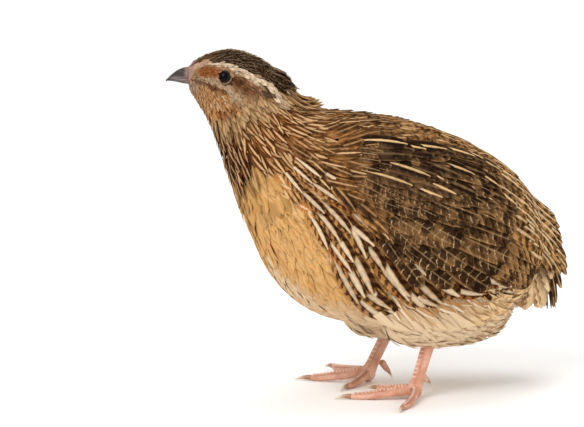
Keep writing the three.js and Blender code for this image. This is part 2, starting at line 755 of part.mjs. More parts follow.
// A front claw bends down to the floor, a hind one follows its toe
function claw(leg, name) {
  const { ahead, side, up } = toeFrame(leg, name);
  const hallux = name === 'hallux';
  const size = hallux ? HALLUX_SIZE : 1;
  const base = toeAxis(leg, name, 1);
  const rings = Array.from({ length: CLAW.rings }, (_, i) => {
    const share = i / (CLAW.rings - 1);
    const radius = CLAW.radius * size * (1 - share) ** 0.7 + CLAW.tip;
    const arch = 0.35 * Math.sin(Math.PI * share * 0.9);
    const fall = hallux ? 0 : (base.z - leg.toes[name].raise - CLAW.tip * 2) * share ** 1.6;
    const centre = base.clone()
      .addScaledVector(ahead, GAP + CLAW.length * size * share)
      .addScaledVector(up, arch - fall);
    return Array.from({ length: CLAW.sides }, (_, j) => {
      const phi = (2 * Math.PI * (j + 0.5)) / CLAW.sides;
      return centre.clone()
        .addScaledVector(side, radius * 0.8 * Math.cos(phi))
        .addScaledVector(up, radius * Math.sin(phi));
    });
  });
  return loft(rings);
}

// The bird

const quail = new THREE.Group();
quail.position.set(-FOOTPRINT.x, -FOOTPRINT.y, 0);

function addNode(name, solid, colour, roughness = 0.85) {
  const { vertProperties, triVerts } = solid.getMesh();
  const geometry = new THREE.BufferGeometry();
  geometry.setAttribute('position', new THREE.BufferAttribute(vertProperties, 3));
  geometry.setIndex(new THREE.BufferAttribute(triVerts, 1));
  const material = new THREE.MeshStandardMaterial({ color: colour, roughness, metalness: 0 });
  const mesh = new THREE.Mesh(geometry, material);
  mesh.name = name;
  quail.add(mesh);
}

const [tailCore, torsoCore, neckCore, headCore] = bodyParts();
const bodyGrown = bodySolid(0, LAST_STATION, LAY_GAP);
addNode('head', head(headCore), COLOURS.head);
addNode('neck', neckCore, COLOURS.breast);
addNode('torso', torso(torsoCore), COLOURS.breast);
addNode('tail', tail(tailCore), COLOURS.tail);
addNode('bill_upper', upperBill(), COLOURS.bill, 0.45);
addNode('bill_lower', lowerBill(), COLOURS.bill, 0.45);
for (const [side, mirror] of [['left', 1], ['right', -1]]) {
  addNode(`eye_${side}`, ball(eyePlace(mirror).centre, EYE_RADIUS), COLOURS.eye, 0.08);
  addNode(`wing_${side}`, wing(mirror), COLOURS.wing);
}

for (const [index, leg] of LEGS.entries()) {
  const { side } = leg;
  const thighSolid = largest(thigh(THIGHS[index]).subtract(bodyGrown));
  const shankSpace = shank(leg, GAP, true);
  const floor = underFloor();
  addNode(`thigh_${side}`, largest(thighSolid.subtract(shankSpace)), COLOURS.thigh);
  addNode(`shank_${side}`, largest(shank(leg).subtract(floor).subtract(bodyGrown)), COLOURS.leg, 0.6);
  let taken = shankSpace;
  for (const name of Object.keys(leg.toes)) {
    const solid = toe(leg, name).subtract(taken).subtract(floor);
    addNode(`toe_${name}_${side}`, largest(solid), COLOURS.leg, 0.6);
    addNode(`claw_${name}_${side}`, claw(leg, name), COLOURS.claw, 0.4);
    taken = taken.add(toe(leg, name, GAP));
  }
}

export default quail;
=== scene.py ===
"""A coturnix quail standing still, life size: skin, plumage, bare parts, floor and light.

The body's form is one loft of fanned sections, addressed by a station along the bird (0 at the
tail root, 14 at the bill base) and an angle round it (0 on the back, 90 on the bird's left side,
180 on the belly). Feathers, markings and skin all read that form, so they agree everywhere.
"""

import logging
import math
from dataclasses import dataclass, field
from enum import Enum
from functools import partialmethod
from typing import Callable, Sequence

import bmesh
import bpy
import numpy as np
from mathutils import Matrix, Vector
from mathutils.kdtree import KDTree


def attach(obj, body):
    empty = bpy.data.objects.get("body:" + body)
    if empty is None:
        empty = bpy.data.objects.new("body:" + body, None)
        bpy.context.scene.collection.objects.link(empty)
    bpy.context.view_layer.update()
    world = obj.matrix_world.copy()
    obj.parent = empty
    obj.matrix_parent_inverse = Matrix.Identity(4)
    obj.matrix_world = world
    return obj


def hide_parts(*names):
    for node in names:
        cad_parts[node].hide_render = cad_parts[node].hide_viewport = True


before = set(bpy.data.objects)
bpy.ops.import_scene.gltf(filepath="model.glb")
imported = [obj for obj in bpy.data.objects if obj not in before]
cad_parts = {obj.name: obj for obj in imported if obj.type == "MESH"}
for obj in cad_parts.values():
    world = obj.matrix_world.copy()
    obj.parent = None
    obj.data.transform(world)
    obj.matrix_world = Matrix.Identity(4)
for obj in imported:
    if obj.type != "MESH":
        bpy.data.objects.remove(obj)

LOG = logging.getLogger("quail")
BODY = "root"
MM = 0.001
SIDES = (("left", 1.0), ("right", -1.0))

# The bird's own midline, measured from the middle of its footprint box, in millimetres
FOOTPRINT = np.array([2.0, 9.6, 0.0])

Array = np.ndarray
Colour = tuple[float, float, float]


def srgb(red: int, green: int, blue: int) -> Colour:
    """A display colour from 0 to 255 as linear light."""
    return tuple(((c / 255 + 0.055) / 1.055) ** 2.4 if c > 10 else c / 3294 for c in (red, green, blue))


SOOT = srgb(24, 12, 6)
UMBER = srgb(56, 31, 14)
TAN = srgb(168, 128, 84)
BUFF = srgb(192, 158, 118)
CREAM = srgb(222, 196, 164)
# A multiplier that changes nothing
UNCHANGED = (1.0, 1.0, 1.0)
# Radians in a full turn, as the feathers' bars count them
TURN = 6.2832


def smoothstep(value: Array, low: float, high: float) -> Array:
    """A soft rise from 0 at low to 1 at high."""
    share = np.clip((value - low) / (high - low), 0, 1)
    return share * share * (3 - 2 * share)


def unit(vectors: Array) -> Array:
    """Vectors brought to length 1."""
    return vectors / (np.linalg.norm(vectors, axis=-1, keepdims=True) + 1e-12)


def blend(low: Array | Colour, high: Array | Colour, share: Array) -> Array:
    """Values between low and high."""
    return np.array(low) * (1 - share) + np.array(high) * share


def catmull_rom(rows: Array, at: Array) -> Array:
    """Smooth values through rows, at places counted in rows."""
    at = np.asarray(at, float)
    last = len(rows) - 1
    i = np.clip(np.floor(at).astype(int), 0, last - 1)
    f = (at - i)[..., None]
    here, after = rows[i], rows[i + 1]
    before = np.where((i > 0)[..., None], rows[np.maximum(i - 1, 0)], 2 * here - after)
    beyond = np.where((i + 2 <= last)[..., None], rows[np.minimum(i + 2, last)], 2 * after - here)
    square = 2 * before - 5 * here + 4 * after - beyond
    cube = 3 * here - before - 3 * after + beyond
    return (2 * here + (after - before) * f + square * f**2 + cube * f**3) / 2


class Form:
    """A surface that feathers grow on, with places given by station and angle."""

    def point(self, station: Array, angle: Array, grow: Array | float = 0.0) -> Array:
        """Places on the surface, in millimetres."""
        raise NotImplementedError

    def turn(self, station: Array, angle: Array) -> Array:
        """Turn of the coat off the surface's own lines, in degrees a station."""
        return 0 * station

    def slopes(self, station: Array, angle: Array) -> tuple[Array, Array]:
        """Change of place per station and per degree."""
        step = 0.02
        along = (self.point(station + step, angle) - self.point(station - step, angle)) / (2 * step)
        around = (self.point(station, angle + 1) - self.point(station, angle - 1)) / 2
        return along, around

    def normal(self, station: Array, angle: Array) -> Array:
        """Directions out of the surface."""
        along, around = self.slopes(station, angle)
        return unit(np.cross(along, around))


@dataclass(frozen=True)
class Lie:
    """How the coat turns off the body's own lines, in degrees per station toward the tail."""

    stations: tuple = (0, 2, 3, 4, 4.5, 5, 5.5, 6, 6.5, 7, 8, 9, 14)
    angles: tuple = (0, 40, 75, 110, 150, 180)
    turns: tuple = (
        (0, 8, 10, 5, 2, 0), (0, 9, 11, 7, 3, 0), (0, 8, 10, 10, 5, 0), (0, 6, 9, 22, 8, 0),
        (0, 4, 8, 34, 10, 0), (0, 2, 7, 34, 10, 0), (0, -1, 4, 24, 8, 0), (0, -5, 0, 13, 5, 0),
        (0, -10, -2, 7, 3, 0), (0, -15, -3, 0, 2, 0), (0, -16, -8, -8, 0, 0), (0, -4, -2, 0, 0, 0),
        (0, 0, 0, 0, 0, 0),)

    def turn(self, station: Array, angle: Array) -> Array:
        """Turn of the coat at these places, mirrored on the bird's right side."""
        table = np.array(self.turns, float)
        row = np.interp(station, self.stations, np.arange(len(self.stations)))
        column = np.interp(np.abs(angle), self.angles, np.arange(len(self.angles)))
        i = np.minimum(row.astype(int), len(self.stations) - 2)
        j = np.minimum(column.astype(int), len(self.angles) - 2)
        fi, fj = row - i, column - j
        near = blend(table[i, j], table[i, j + 1], fj)
        far = blend(table[i + 1, j], table[i + 1, j + 1], fj)
        return blend(near, far, fi) * np.sign(angle)


LIE = Lie()


@dataclass(frozen=True)
class BodyForm(Form):
    """The loft that the skin, the coat and the markings share, in millimetres."""

    # upper point y, z; lower point y, z; half width, from the tail root to the bill base
    stations: tuple = (
        (61, 55, 61, 49, 3), (58, 67.5, 56, 39, 11.5), (46.5, 82, 46, 30, 24), (30, 93, 28, 25.5, 32.5),
        (8, 102.7, 2, 24.5, 37.5), (-11, 106.8, -29, 31, 37.5), (-23, 109, -46, 42.5, 34.5),
        (-32, 111.7, -57, 61, 28.5), (-38.5, 115.3, -67, 84, 20.5), (-43, 119.8, -74.5, 106, 13),
        (-48, 126.2, -79.5, 115.5, 11), (-57, 132.8, -82, 119.3, 11), (-67, 136, -83.3, 121.3, 9.2),
        (-77, 134, -84, 122.3, 5.9), (-84.5, 129.7, -84.5, 122.9, 3.3),)
    neck_axis_y: float = -48
    head_turn: float = math.radians(25)
    turn_start: float = 6.5
    turn_end: float = 10

    def turned(self, x: Array, y: Array, z: Array, turn: Array | float) -> Array:
        """Points turned with the head about the upright line through the neck."""
        ahead = self.neck_axis_y - y
        across = x * np.cos(turn) - ahead * np.sin(turn)
        along = self.neck_axis_y - ahead * np.cos(turn) - x * np.sin(turn)
        return np.stack([across, along, z + 0 * across], -1)

    def point(self, station: Array, angle: Array, grow: Array | float = 0.0) -> Array:
        """Places on the body.

        Args:
            station: Places along the bird.
            angle: Places round it, in degrees.
            grow: Height over the surface, in millimetres.

        Returns:
            Points in millimetres, one row each.
        """
        station, angle, grow = np.broadcast_arrays(np.asarray(station, float), angle, grow)
        upper_y, upper_z, lower_y, lower_z, half = np.moveaxis(
            catmull_rom(np.array(self.stations, float), station), -1, 0)
        half_y, half_z = (upper_y - lower_y) / 2, (upper_z - lower_z) / 2
        stretch = 1 + grow / np.hypot(half_y, half_z)
        cos = np.cos(np.radians(angle)) * stretch
        x = (half + grow) * np.sin(np.radians(angle))
        y = (upper_y + lower_y) / 2 + half_y * cos
        z = (upper_z + lower_z) / 2 + half_z * cos
        turn = self.head_turn * smoothstep(station, self.turn_start, self.turn_end)
        return self.turned(x, y, z, turn)

    def turn(self, station: Array, angle: Array) -> Array:
        """Turn of the coat, from the lie that the photograph shows."""
        return LIE.turn(station, angle)


FORM = BodyForm()


def placed(points: Array) -> Array:
    """Millimetres on the bird's midline brought into the shared frame, in metres."""
    return (np.asarray(points, float) + FOOTPRINT) * MM


@dataclass(frozen=True)
class Zone:
    """A soft-edged marking between two angles that change along the bird."""

    name: str
    edges: tuple
    colour: Colour
    streak: float = 0.0
    dark: float = 0.0
    bar: float = 0.0
    soft: tuple = (0.12, 4.0)

    def weight(self, station: Array, angle: Array) -> Array:
        """How far the marking covers each place, from 0 to 1."""
        rows = np.array(sorted(self.edges), float)
        upper = np.interp(station, rows[:, 0], rows[:, 1])
        lower = np.interp(station, rows[:, 0], rows[:, 2])
        soft_along, soft_round = self.soft
        inside = smoothstep(angle, upper - soft_round / 2, upper + soft_round / 2)
        inside = np.where(upper <= 0, 1, inside)
        below = 1 - smoothstep(angle, lower - soft_round / 2, lower + soft_round / 2)
        inside = inside * np.where(lower >= 180, 1, below)
        start = smoothstep(station, rows[0, 0] - soft_along, rows[0, 0] + soft_along)
        end = 1 - smoothstep(station, rows[-1, 0] - soft_along, rows[-1, 0] + soft_along)
        return inside * start * end


def body_zones() -> tuple[Zone, ...]:
    """Markings of the wild pattern, from the broad ones to those that lie over them."""
    wide = (0.35, 14.0)
    return (
        Zone("back", ((-1, 0, 180), (15, 0, 180)), srgb(150, 104, 62), 0.55, 0.6, 0.6),
        Zone("mantle", ((5.6, 0, 60), (7, 0, 72), (8.3, 0, 70)), srgb(160, 108, 60), 0.9, 0.7, 0.25,
            wide),
        Zone("rump", ((1, 0, 90), (3, 0, 60), (4.8, 0, 42)), srgb(196, 142, 84), 0.7, 0.5, 0.9, wide),
        Zone("shoulder", ((5.9, 62, 88), (7, 60, 98), (7.9, 58, 104)), srgb(168, 114, 64), 0.9, 0.7, 0.4,
            wide),
        Zone("belly", ((-1, 100, 180), (2, 112, 180), (4, 128, 180), (6, 136, 180), (7, 150, 180)),
            srgb(236, 208, 170), 0.25, 0.0, 0.0, (0.5, 16.0)),
        Zone("breast", ((5, 134, 150), (5.6, 127, 154), (6.2, 119, 162), (6.7, 114, 180), (8, 112, 180)),
            srgb(218, 166, 98), 0.45, 0.06, 0.0, (0.45, 14.0)),
        Zone("vent", ((-1, 100, 180), (2, 108, 180), (2.8, 114, 180)), srgb(238, 202, 154), 0.2, 0.0, 0.0,
            wide),
        Zone("vent spots", ((0.9, 116, 150), (3.3, 122, 158)), srgb(238, 200, 148), 0.1, 0.0, 0.7,
            (0.3, 8.0)),
        Zone("flank", ((3, 110, 128), (4, 106, 138), (4.5, 101, 141), (5, 92, 138), (5.5, 86, 130),
                (6, 82, 121), (7, 84, 114), (8, 92, 114)), srgb(204, 146, 86), 1.0, 0.95, 0.5,
            (0.2, 6.0)),
        Zone("collar", ((7.9, 112, 180), (8.25, 104, 180), (8.65, 112, 180)), srgb(88, 44, 22), 1.0, 0.8,
            0.0, (0.2, 12.0)),
        Zone("neck base", ((7.9, 55, 112), (8.7, 40, 140)), srgb(164, 104, 52), 0.95, 1.0, 0.2,
            (0.3, 12.0)),
        Zone("neck side", ((8.75, 52, 180), (9.6, 66, 180)), srgb(206, 166, 118), 0.35, 0.45, 0.0,
            (0.2, 8.0)),
        Zone("nape", ((8.3, 0, 44), (9.4, 0, 46)), srgb(186, 144, 98), 0.7, 0.6, 0.2, (0.2, 8.0)),
        Zone("face", ((9.4, 36, 180), (14.5, 0, 180)), srgb(182, 142, 104), 0.1, 0.1, 0.0, (0.2, 6.0)),
        Zone("throat", ((9.2, 106, 165), (10, 108, 168), (10.8, 114, 172), (11.8, 118, 180)),
            srgb(196, 138, 82), 0.7, 0.15, 0.0),
        Zone("throat rust", ((9.25, 108, 140), (9.55, 106, 146)), srgb(158, 92, 48), 0.3, 0.2, 0.0,
            (0.1, 8.0)),
        Zone("chin", ((11.2, 148, 180), (11.7, 132, 180), (12.6, 128, 180), (13.6, 128, 180)),
            srgb(204, 168, 138), 0.2, 0.05, 0.0, (0.2, 10.0)),
        Zone("cheek", ((9.7, 92, 104), (10.6, 94, 106), (11.4, 97, 111), (12.4, 98, 114)),
            srgb(196, 164, 130), 0.2, 0.05, 0.0),
        Zone("gape", ((11.6, 117, 122), (12.5, 119, 127), (13.5, 118, 130)), srgb(150, 112, 92), 0.0, 0.2,
            0.0),
        Zone("malar", ((10.2, 103, 108), (10.6, 105, 114), (11, 109, 119), (11.6, 114, 122)),
            srgb(140, 92, 56), 0.1, 0.4, 0.0, (0.2, 4.0)),
        Zone("ear", ((9.6, 66, 82), (10, 65, 88), (10.5, 68, 92), (10.85, 70, 84)), srgb(132, 86, 54),
            0.15, 0.2, 0.0, (0.3, 8.0)),
        Zone("ear streak", ((10.4, 76, 88), (10.75, 74, 84)), srgb(92, 58, 36), 0.0, 0.3, 0.0,
            (0.12, 5.0)),
        Zone("pale lore", ((12.5, 46, 66), (12.9, 40, 68), (13.5, 36, 70)), srgb(234, 192, 158)),
        Zone("rusty lore", ((11.5, 82, 94), (11.8, 76, 100), (12.4, 73, 106), (12.9, 72, 96)),
            srgb(168, 94, 44), 0.1, 0.0, 0.0, (0.3, 10.0)),
        Zone("forehead", ((12.3, 0, 52), (12.8, 0, 42), (13.4, 0, 34)), srgb(118, 82, 48), 0.2, 0.45,
            0.0),
        Zone("bill root", ((13.45, 0, 180), (14.5, 0, 180)), srgb(172, 140, 128), 0.0, 0.0, 0.0,
            (0.25, 5.0)),
        Zone("crown", ((9.25, 0, 38), (9.6, 0, 42), (10, 0, 45), (10.5, 0, 50), (11, 0, 56), (12, 0, 58),
                (12.45, 0, 54)), srgb(34, 18, 9), 0.25, 0.6, 0.35, (0.08, 4.0)),
        Zone("crown line", ((9.2, 0, 4), (11.4, 0, 5.5), (12.9, 0, 3)), srgb(190, 156, 116), 0.0, 0.3,
            0.0, (0.1, 3.0)),
        Zone("brow", ((8.85, 38, 54), (9.1, 42, 58), (9.6, 46, 56), (10, 47, 61), (10.6, 53, 67),
                (11.1, 58, 68), (11.6, 57, 68), (12.2, 58, 70), (12.5, 54, 64)), srgb(238, 212, 180), 0.1,
            0.0, 0.0, (0.1, 3.0)),
        Zone("brow end", ((9.35, 56, 68), (9.6, 54, 67), (9.85, 54, 62)), srgb(96, 78, 60), 0.0, 0.3, 0.0,
            (0.1, 4.0)),)


@dataclass(frozen=True)
class Markings:
    """The wild pattern over the whole body, for the skin and for each feather."""

    zones: tuple[Zone, ...] = field(default_factory=body_zones)

    def sample(self, station: Array, angle: Array) -> tuple[Array, Array]:
        """Ground colour and the shares of streak, dark and bar at these places.

        Args:
            station: Places along the bird.
            angle: Places round it, in degrees, either side.

        Returns:
            Colours and traits, three columns each.
        """
        ground = np.zeros(np.shape(station) + (3,))
        traits = np.zeros(np.shape(station) + (3,))
        for zone in self.zones:
            cover = zone.weight(station, np.abs(angle))[..., None]
            ground = blend(ground, zone.colour, cover)
            traits = blend(traits, (zone.streak, zone.dark, zone.bar), cover)
        return ground, traits


MARKINGS = Markings()


def feed(tree: bpy.types.NodeTree, node: bpy.types.Node, name: str | int, value: object) -> None:
    """Links a wire to an input, or sets the input's own value."""
    if isinstance(value, Wire):
        tree.links.new(value.socket, node.inputs[name])
    else:
        node.inputs[name].default_value = value


class Wire:
    """A number or vector in a node tree, with arithmetic that adds its nodes."""

    def __init__(self, tree: bpy.types.NodeTree, socket: bpy.types.NodeSocket) -> None:
        """Wraps one output socket."""
        self.tree = tree
        self.socket = socket

    @property
    def is_vector(self) -> bool:
        """Whether the socket carries three numbers."""
        return self.socket.type in {"VECTOR", "ROTATION"}

    def join(self, operation: str, *others: "Wire | float") -> "Wire":
        """The result of a Math or Vector Math node."""
        vector = self.is_vector or any(isinstance(o, Wire) and o.is_vector for o in others)
        node = self.tree.nodes.new("ShaderNodeVectorMath" if vector else "ShaderNodeMath")
        node.operation = operation
        for index, value in enumerate((self, *others)):
            feed(self.tree, node, index, value)
        return Wire(self.tree, node.outputs[0])

    __add__ = __radd__ = partialmethod(join, "ADD")
    __mul__ = __rmul__ = partialmethod(join, "MULTIPLY")
    __sub__ = partialmethod(join, "SUBTRACT")
    __abs__ = partialmethod(join, "ABSOLUTE")
    sine = partialmethod(join, "SINE")
    most = partialmethod(join, "MAXIMUM")
    cross = partialmethod(join, "CROSS_PRODUCT")
    unit = partialmethod(join, "NORMALIZE")

    def __rsub__(self, other: float) -> "Wire":
        """A number less this value."""
        return self * -1.0 + other

    def scaled(self, factor: "Wire | float") -> "Wire":
        """A vector times a number."""
        node = self.tree.nodes.new("ShaderNodeVectorMath")
        node.operation = "SCALE"
        feed(self.tree, node, 0, self)
        feed(self.tree, node, "Scale", factor)
        return Wire(self.tree, node.outputs[0])

    def rise(self, low: "Wire | float", high: "Wire | float") -> "Wire":
        """A soft rise from 0 at low to 1 at high."""
        node = self.tree.nodes.new("ShaderNodeMapRange")
        node.interpolation_type = "SMOOTHSTEP"
        for name, value in (("Value", self), ("From Min", low), ("From Max", high)):
            feed(self.tree, node, name, value)
        return Wire(self.tree, node.outputs["Result"])


class Nodes:
    """A node tree under construction."""

    def __init__(self, tree: bpy.types.NodeTree) -> None:
        """Starts on an empty tree."""
        self.tree = tree
        tree.nodes.clear()

    def add(self, kind: str, settings: dict | None = None, inputs: dict | None = None,
            output: str | int = 0) -> Wire:
        """Adds one node.

        Args:
            kind: The node's type.
            settings: Its properties, set first.
            inputs: Values or wires by socket name or number.
            output: The output socket that is returned.

        Returns:
            The chosen output.
        """
        node = self.tree.nodes.new(kind)
        for name, value in (settings or {}).items():
            setattr(node, name, value)
        for name, value in (inputs or {}).items():
            feed(self.tree, node, name, value)
        return Wire(self.tree, node.outputs[output]) if node.outputs else Wire(self.tree, None)

    def mix(self, factor: Wire | float, low: Wire | Colour, high: Wire | Colour,
            blend: str = "MIX") -> Wire:
        """A colour between two colours."""
        colours = [c if isinstance(c, Wire) else (*c, 1.0) for c in (low, high)]
        inputs = {0: factor, 6: colours[0], 7: colours[1]}
        return self.add("ShaderNodeMix", {"data_type": "RGBA", "blend_type": blend}, inputs, 2)

    def attribute(self, name: str, output: str = "Vector") -> Wire:
        """A mesh attribute in a material."""
        return self.add("ShaderNodeAttribute", {"attribute_name": name}, None, output)

    def noise(self, vector: Wire, scale: float, detail: float = 2.0, output: str | int = 0) -> Wire:
        """A noise texture on a vector."""
        inputs = {"Vector": vector, "Scale": scale, "Detail": detail}
        return self.add("ShaderNodeTexNoise", None, inputs, output)

    def place(self) -> Wire:
        """Object coordinates."""
        return self.add("ShaderNodeTexCoord", None, None, "Object")

    def grain(self, scale: float, detail: float = 2.0) -> Wire:
        """Noise on object coordinates."""
        return self.noise(self.place(), scale, detail)

    def split(self, vector: Wire) -> list[Wire]:
        """The three numbers of a vector."""
        node = self.add("ShaderNodeSeparateXYZ", None, {0: vector}).socket.node
        return [Wire(self.tree, output) for output in node.outputs]


def surface(name: str, build: Callable[[Nodes], dict]) -> bpy.types.Material:
    """A material with one Principled surface.

    Args:
        name: The material's name.
        build: Returns the surface's values or wires by socket name; Height becomes a bump of the
            distance under Depth.

    Returns:
        The material.
    """
    material = bpy.data.materials.new(name)
    material.use_nodes = True
    nodes = Nodes(material.node_tree)
    values = build(nodes)
    if "Height" in values:
        bump = {"Height": values.pop("Height"), "Distance": values.pop("Depth"), "Strength": 1.0}
        values["Normal"] = nodes.add("ShaderNodeBump", None, bump)
    shader = nodes.add("ShaderNodeBsdfPrincipled", None, values)
    nodes.add("ShaderNodeOutputMaterial", None, {"Surface": shader})
    return material


@dataclass(frozen=True)
class FeatherFinish:
    """How one kind of feather is painted along and across its vane."""

    name: str
    dark: Colour = SOOT
    streak: Colour = CREAM
    bar: Colour = UMBER
    fringe: Colour = TAN
    streak_half: float = 0.16
    dark_reach: float = 0.62
    bars: float = 4.0
    bar_bend: float = 0.35
    bar_share: float = 0.45
    fringe_share: float = 0.3
    mottle: float = 0.35
    patch_scale: float = 2.2
    shaft: float = 0.5
    line: Colour = BUFF
    line_share: float = 0.0
    web: float = 0.0
    vary: float = 0.33
    scatter: float = 0.0
    blotch: float = 0.0

    def material(self) -> bpy.types.Material:
        """The material, from the vane's own coordinates and traits."""
        return surface(self.name, self._surface)

    def _surface(self, nodes: Nodes) -> dict:
        """Paints the vane from its ground colour to its shaft."""
        along, across, _ = nodes.split(nodes.attribute("vane"))
        streak_trait, dark_share, bar_share = nodes.split(nodes.attribute("traits"))
        seed = nodes.attribute("seed", "Fac")
        streak_share = streak_trait * (1 - ((seed * 57.3).sine() * 0.5 + 0.5) * self.scatter)
        ground = nodes.attribute("ground", "Color")
        local = nodes.add("ShaderNodeCombineXYZ", None, {0: along * 1.6, 1: across, 2: seed * 37.0})
        wobble = nodes.noise(local, self.patch_scale, 3.0) - 0.5
        fine = nodes.noise(local, 9.0, 2.0) - 0.5
        aside = abs(across)
        tone = (seed * 0.5 + wobble * self.mottle + 0.25).rise(0.1, 0.9)
        shadow = tuple(1 - self.vary * depth for depth in (1.6, 1.65, 1.7))
        colour = nodes.mix(1.0, ground, nodes.mix(tone, shadow, UNCHANGED), "MULTIPLY")
        barbs = ((along * 1.0 - aside * 0.35) * 150.0 + fine * 3.0).sine()
        colour = nodes.mix((barbs * 0.5 + 0.5) * 0.16, colour, self.dark)
        turn = (along * self.bars + aside * self.bar_bend * -self.bars * 0.3 + seed + wobble * 1.1) * TURN
        wave = turn.sine()
        barred = wave.rise(1 - 2 * self.bar_share, 1.15 - 2 * self.bar_share) * bar_share
        colour = nodes.mix(barred * along.rise(0.12, 0.3) * 0.85, colour, self.bar)
        broken = wobble.rise(-0.12, 0.1)
        crests = (turn + 1.9 + fine * 2.0).sine().rise(0.86, 0.97) * bar_share * self.line_share * broken
        colour = nodes.mix(crests * along.rise(0.2, 0.4), colour, self.line)
        width = along.rise(-0.1, 0.55) * (1 - along.rise(0.7, 1.02) * 0.75) * self.streak_half
        rim = aside + fine * 0.08
        beyond = rim.rise(width * 0.8, width * 1.25 + 0.07)
        reach = 1 - (rim + wobble * 0.45 - across * self.web).rise(
            self.dark_reach - 0.1, self.dark_reach + 0.1)
        shade = beyond * reach * along.rise(0.2, 0.45) * dark_share
        colour = nodes.mix(shade * 0.92, colour, self.dark)
        edge = rim.rise(0.72, 0.98).most(along.rise(0.9, 1.0)) * self.fringe_share
        colour = nodes.mix(edge, colour, self.fringe)
        if self.blotch:
            patch = nodes.grain(170.0, 3.0) + seed * 0.08 - 0.04
            colour = nodes.mix(patch.rise(0.53, 0.62) * self.blotch, colour, self.dark)
            colour = nodes.mix((1 - patch).rise(0.54, 0.66) * self.blotch * 0.35, colour, self.fringe)
        pale = nodes.mix((rim + fine * 0.3).rise(0.0, width * 1.1 + 0.02) * 0.45, self.streak, colour)
        colour = nodes.mix((1 - beyond) * streak_share, colour, pale)
        line = (1 - aside.rise(0.02, 0.05)) * self.shaft
        colour = nodes.mix(line, colour, nodes.mix(streak_share, self.dark, self.streak))
        return {
            "Base Color": colour, "Roughness": 0.9, "Specular IOR Level": 0.02, "Height": barbs * 0.25
            + line, "Depth": 0.00008}


def grid_faces(rows: int, sides: int, closed: bool = False) -> list[tuple[int, int, int, int]]:
    """Faces between rings of corners, and from the last ring to the first one if closed."""
    faces = []
    for row in range(rows if closed else rows - 1):
        here, beyond = row * sides, (row + 1) % rows * sides
        for side in range(sides):
            after = (side + 1) % sides
            faces.append((here + side, here + after, beyond + after, beyond + side))
    return faces


# The key that each kind of attribute stores its values under
LAYER_KEYS = {"FLOAT": "value", "FLOAT_VECTOR": "vector", "FLOAT_COLOR": "color"}


def store(mesh: bpy.types.Mesh, name: str, kind: str, values: Array) -> None:
    """Stores an attribute on a mesh's corners."""
    layer = mesh.attributes.new(name, kind, "POINT")
    layer.data.foreach_set(LAYER_KEYS[kind], np.asarray(values, np.float32).ravel())


def opaque(colours: Array) -> Array:
    """Colours with a full fourth channel."""
    return np.hstack([colours, np.ones((len(colours), 1))])


def evaluated(holder: bpy.types.Object) -> bpy.types.Mesh:
    """An object's mesh with its modifiers applied."""
    view = bpy.context.evaluated_depsgraph_get()
    return bpy.data.meshes.new_from_object(holder.evaluated_get(view), depsgraph=view)


class VaneShape(Enum):
    """Outlines of a feather, as shares of its length and of its half width."""

    ROUND = (
        (0, 0.35), (0.12, 0.6), (0.3, 0.9), (0.5, 1.0), (0.68, 0.98), (0.82, 0.84), (0.92, 0.6),
        (0.98, 0.3), (1.0, 0.08))
    SOFT = (
        (0, 0.4), (0.15, 0.7), (0.35, 1.0), (0.5, 0.84), (0.58, 0.98), (0.7, 0.72), (0.76, 0.86),
        (0.86, 0.48), (0.9, 0.6), (1.0, 0.06))
    LANCE = (
        (0, 0.3), (0.15, 0.66), (0.35, 0.98), (0.55, 0.95), (0.7, 0.78), (0.82, 0.55), (0.92, 0.28),
        (1.0, 0.03))
    QUILL = (
        (0, 0.3), (0.08, 0.7), (0.2, 1.0), (0.4, 1.0), (0.6, 0.97), (0.76, 0.9), (0.87, 0.76),
        (0.94, 0.5), (1.0, 0.1))
    SCUTE = ((0, 0.6), (0.12, 0.9), (0.45, 1.0), (0.78, 0.94), (0.94, 0.7), (1.0, 0.45))

    def template(self) -> bpy.types.Object:
        """A thin closed vane whose corners carry their place along and across it."""
        corners = []
        for along, half in self.value:
            corners += [(along, -half, 0.0), (along, 0.0, 0.5), (along, half, 0.0), (along, 0.0, -0.5)]
        rows = len(self.value)
        faces = [(a, d, c, b) for a, b, c, d in grid_faces(rows, 4)]
        faces.append((0, 1, 2, 3))
        last = 4 * rows - 4
        faces.append((last + 3, last + 2, last + 1, last))
        mesh = bpy.data.meshes.new("vane_" + self.name.lower())
        mesh.from_pydata(corners, [], faces)
        mesh.shade_smooth()
        store(mesh, "vane", "FLOAT_VECTOR", corners)
        sharp = mesh.attributes.new("sharp_edge", "BOOLEAN", "EDGE")
        flags = [
            abs(corners[e.vertices[0]][1]) > 0 and abs(corners[e.vertices[1]][1]) > 0 for e in mesh.edges]
        sharp.data.foreach_set("value", flags)
        return bpy.data.objects.new("vane_" + self.name.lower(), mesh)


@dataclass
class Feathers:
    """Feathers of one coat piece, each along its own curve."""

    start: Array
    bend: Array
    finish: Array
    rise_start: Array
    rise_finish: Array
    half: Array
    ground: Array
    traits: Array
    seed: Array
    patch: Array

    @staticmethod
    def joined(groups: "Sequence[Feathers]") -> "Feathers":
        """Several groups as one."""
        names = Feathers.__dataclass_fields__
        return Feathers(*(np.concatenate([getattr(g, name) for g in groups]) for name in names))

    def __len__(self) -> int:
        """How many feathers there are."""
        return len(self.half)


